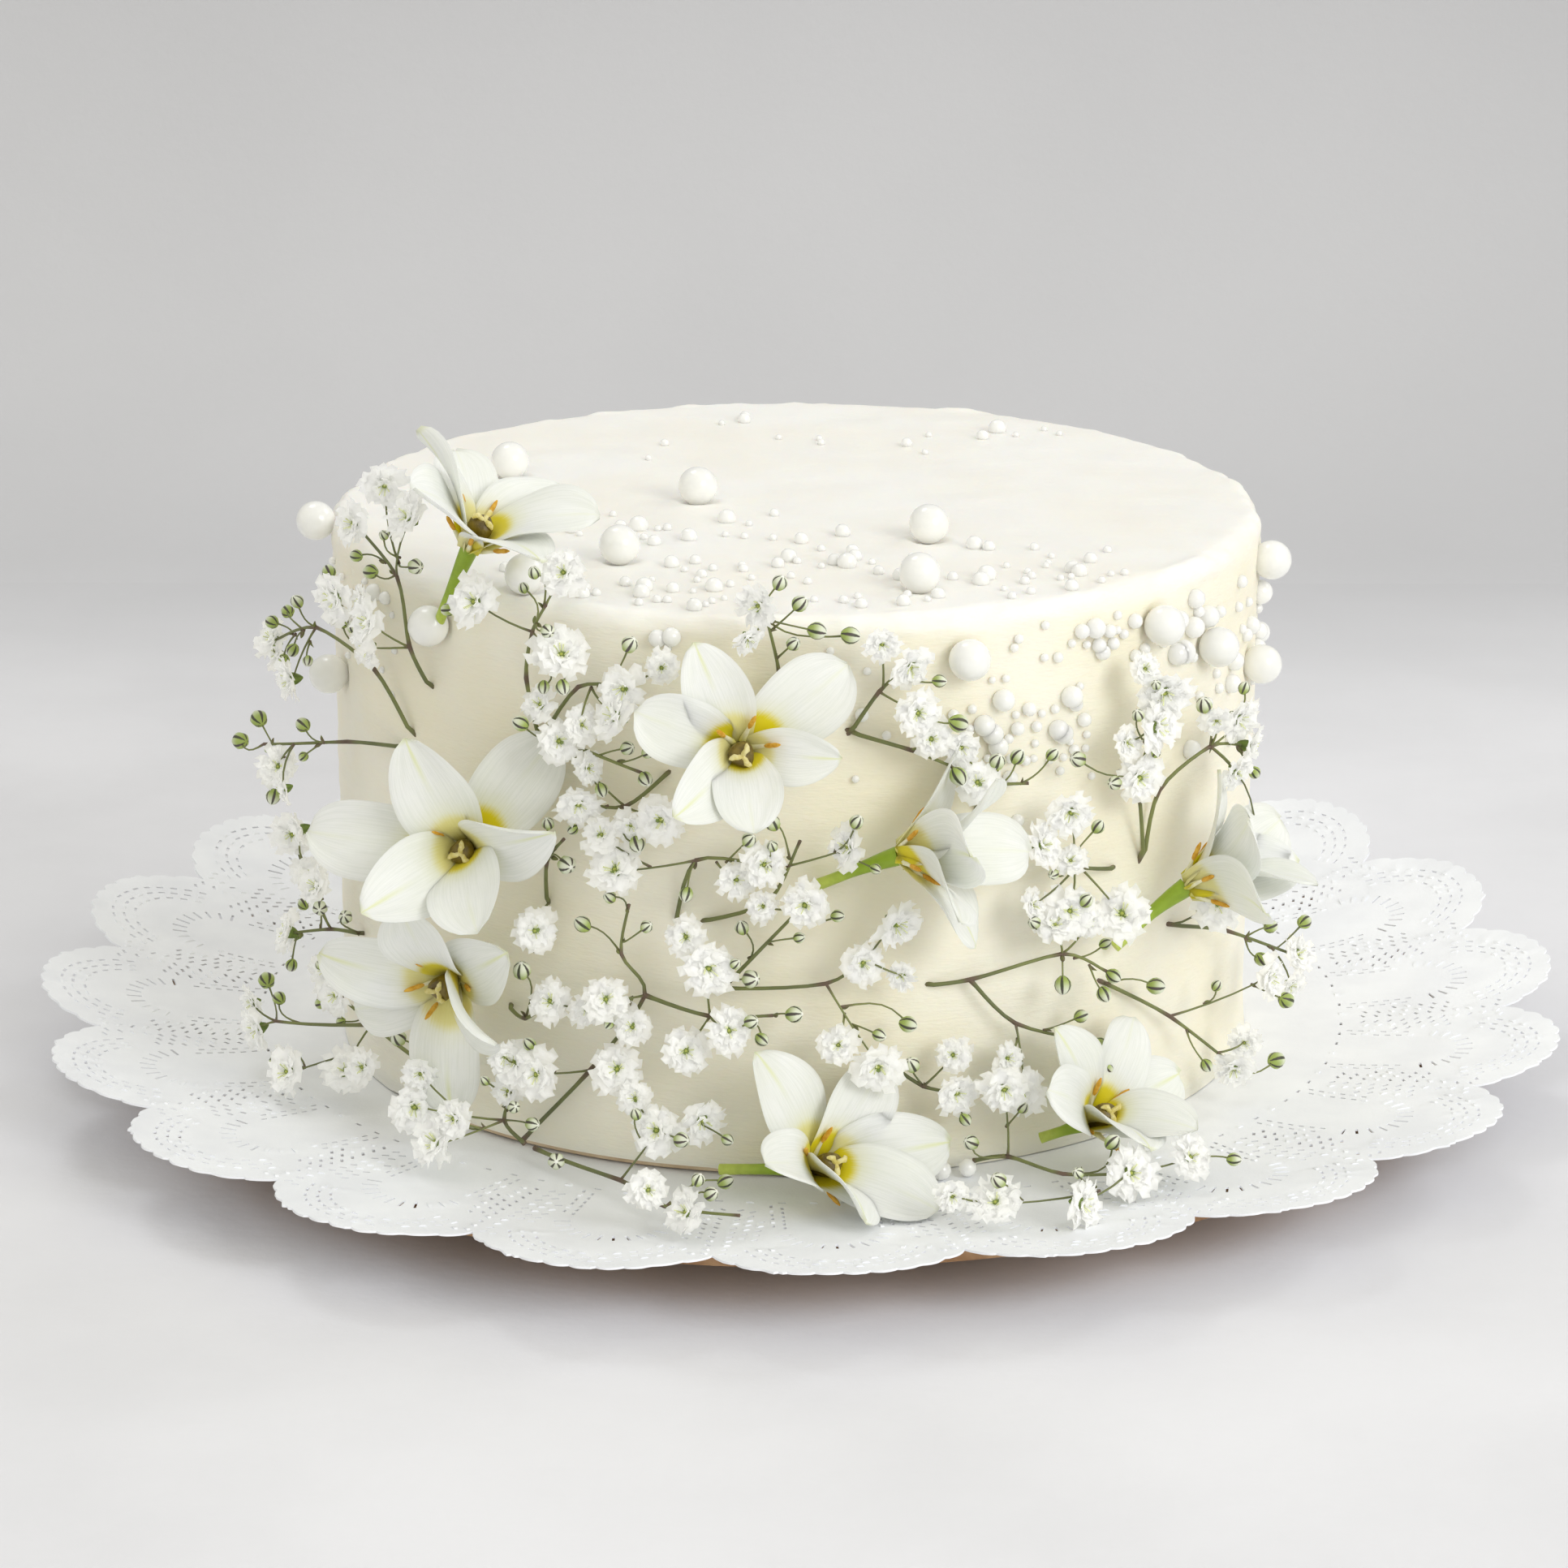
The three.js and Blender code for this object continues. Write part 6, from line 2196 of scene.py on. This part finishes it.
def stage_finish(name, near, far, turn_at, turn_over):
    """One soft surface for floor and wall, whose shade changes with depth and is painted darker
    to the right as painted shade.
    """
    material, tree, shader = finish(name, 0.75)
    places = put(tree, "ShaderNodeSeparateXYZ", {0: object_place(tree)}).outputs
    # Painted shade: floor and wall grow darker towards the right, to take back the light of the
    # lamps on that side.
    right = between(tree, places[0], 0.0, PAINTED_SHADE_TO)
    front = blend(tree, right, near, darker(near, 0.95))
    rear = blend(tree, right, far, darker(far, 0.91))
    share = between(tree, places[1], turn_at, turn_at + turn_over)
    plain = blend(tree, share, front, rear)
    clouds = product(tree, mottled(tree, 9, 5), 0.2)
    tinted(tree, shader, blend(tree, clouds, plain, darker(far, 0.93)))
    behind = put(tree, "ShaderNodeNewGeometry").outputs["Backfacing"]
    tree.links.new(sums(tree, "SUBTRACT", 1.0, behind), shader.inputs["Alpha"])
    relieved(tree, shader, 300, 0.1)
    return material


def swept_piece(name, line, material):
    """A wide strip that follows a line of depth and height, in metres."""
    corners = [(x, depth, height) for depth, height in line for x in (-STRIP_HALF, STRIP_HALF)]
    faces = [(2 * i, 2 * i + 1, 2 * i + 3, 2 * i + 2) for i in range(len(line) - 1)]
    mesh = bpy.data.meshes.new(name)
    mesh.from_pydata(corners, [], faces)
    mesh.shade_smooth()
    mesh.materials.append(material)
    placed(name, mesh)


WALL_Y = 0.62
WALL_TOP = 3.0
FLOOR_FRONT = -3.0
COVE = 0.2
COVE_STEPS = 13
PLASTER = stage_finish("plaster", (235, 235, 239), (197, 197, 200), 0.2, 0.3)
floor_line = [(FLOOR_FRONT, 0.0), (WALL_Y - COVE, 0.0)]
wall_line = [(WALL_Y - COVE * (1 - math.sin(a)), COVE * (1 - math.cos(a)))
             for a in np.linspace(0, math.pi / 2, COVE_STEPS)] + [(WALL_Y, WALL_TOP)]
swept_piece("floor", floor_line, PLASTER)
swept_piece("backdrop", wall_line, PLASTER)
print("floor and backdrop meet", round(WALL_Y - COVE, 2), "m behind the middle")

# %% [markdown]
# The light is soft daylight. The key comes from the right and a little behind, high up, and
# draws the soft shadow to the left and forward, under the raised paper edge. A second one
# high at the back fills the top, a wide one at the front right opens the flowers, and an
# even, slightly warm sky lights the rest.

# %% Lights
LIGHT_AIM = Vector((0, 0, 0.06))


def soft_light(name, place, size, power, tint):
    """A round soft light that looks at the cake. size is in metres and power in watts."""
    data = bpy.data.lights.new(name, "AREA")
    data.shape = "DISK"
    data.size = size
    data.energy = power
    data.color = tint
    lamp = placed(name, data)
    lamp.location = place
    lamp.rotation_euler = (LIGHT_AIM - Vector(place)).to_track_quat("-Z", "Y").to_euler()


soft_light("key", (1.15, 0.5, 1.15), 0.55, 4.0, (0.97, 0.985, 1.0))
soft_light("second", (-0.4, 0.45, 1.35), 0.5, 2.4, (0.96, 0.98, 1.0))
soft_light("front", (1.08, -1.28, 0.9), 0.9, 12.5, (0.98, 0.99, 1.0))
world = bpy.data.worlds.new("sky")
bpy.context.scene.world = world
world.use_nodes = True
sky = world.node_tree.nodes["Background"]
sky.inputs["Color"].default_value = (1.0, 0.98, 0.9, 1.0)
sky.inputs["Strength"].default_value = 0.82
bpy.context.scene.view_settings.view_transform = "Standard"
print("lights", [light.name for light in bpy.data.lights])
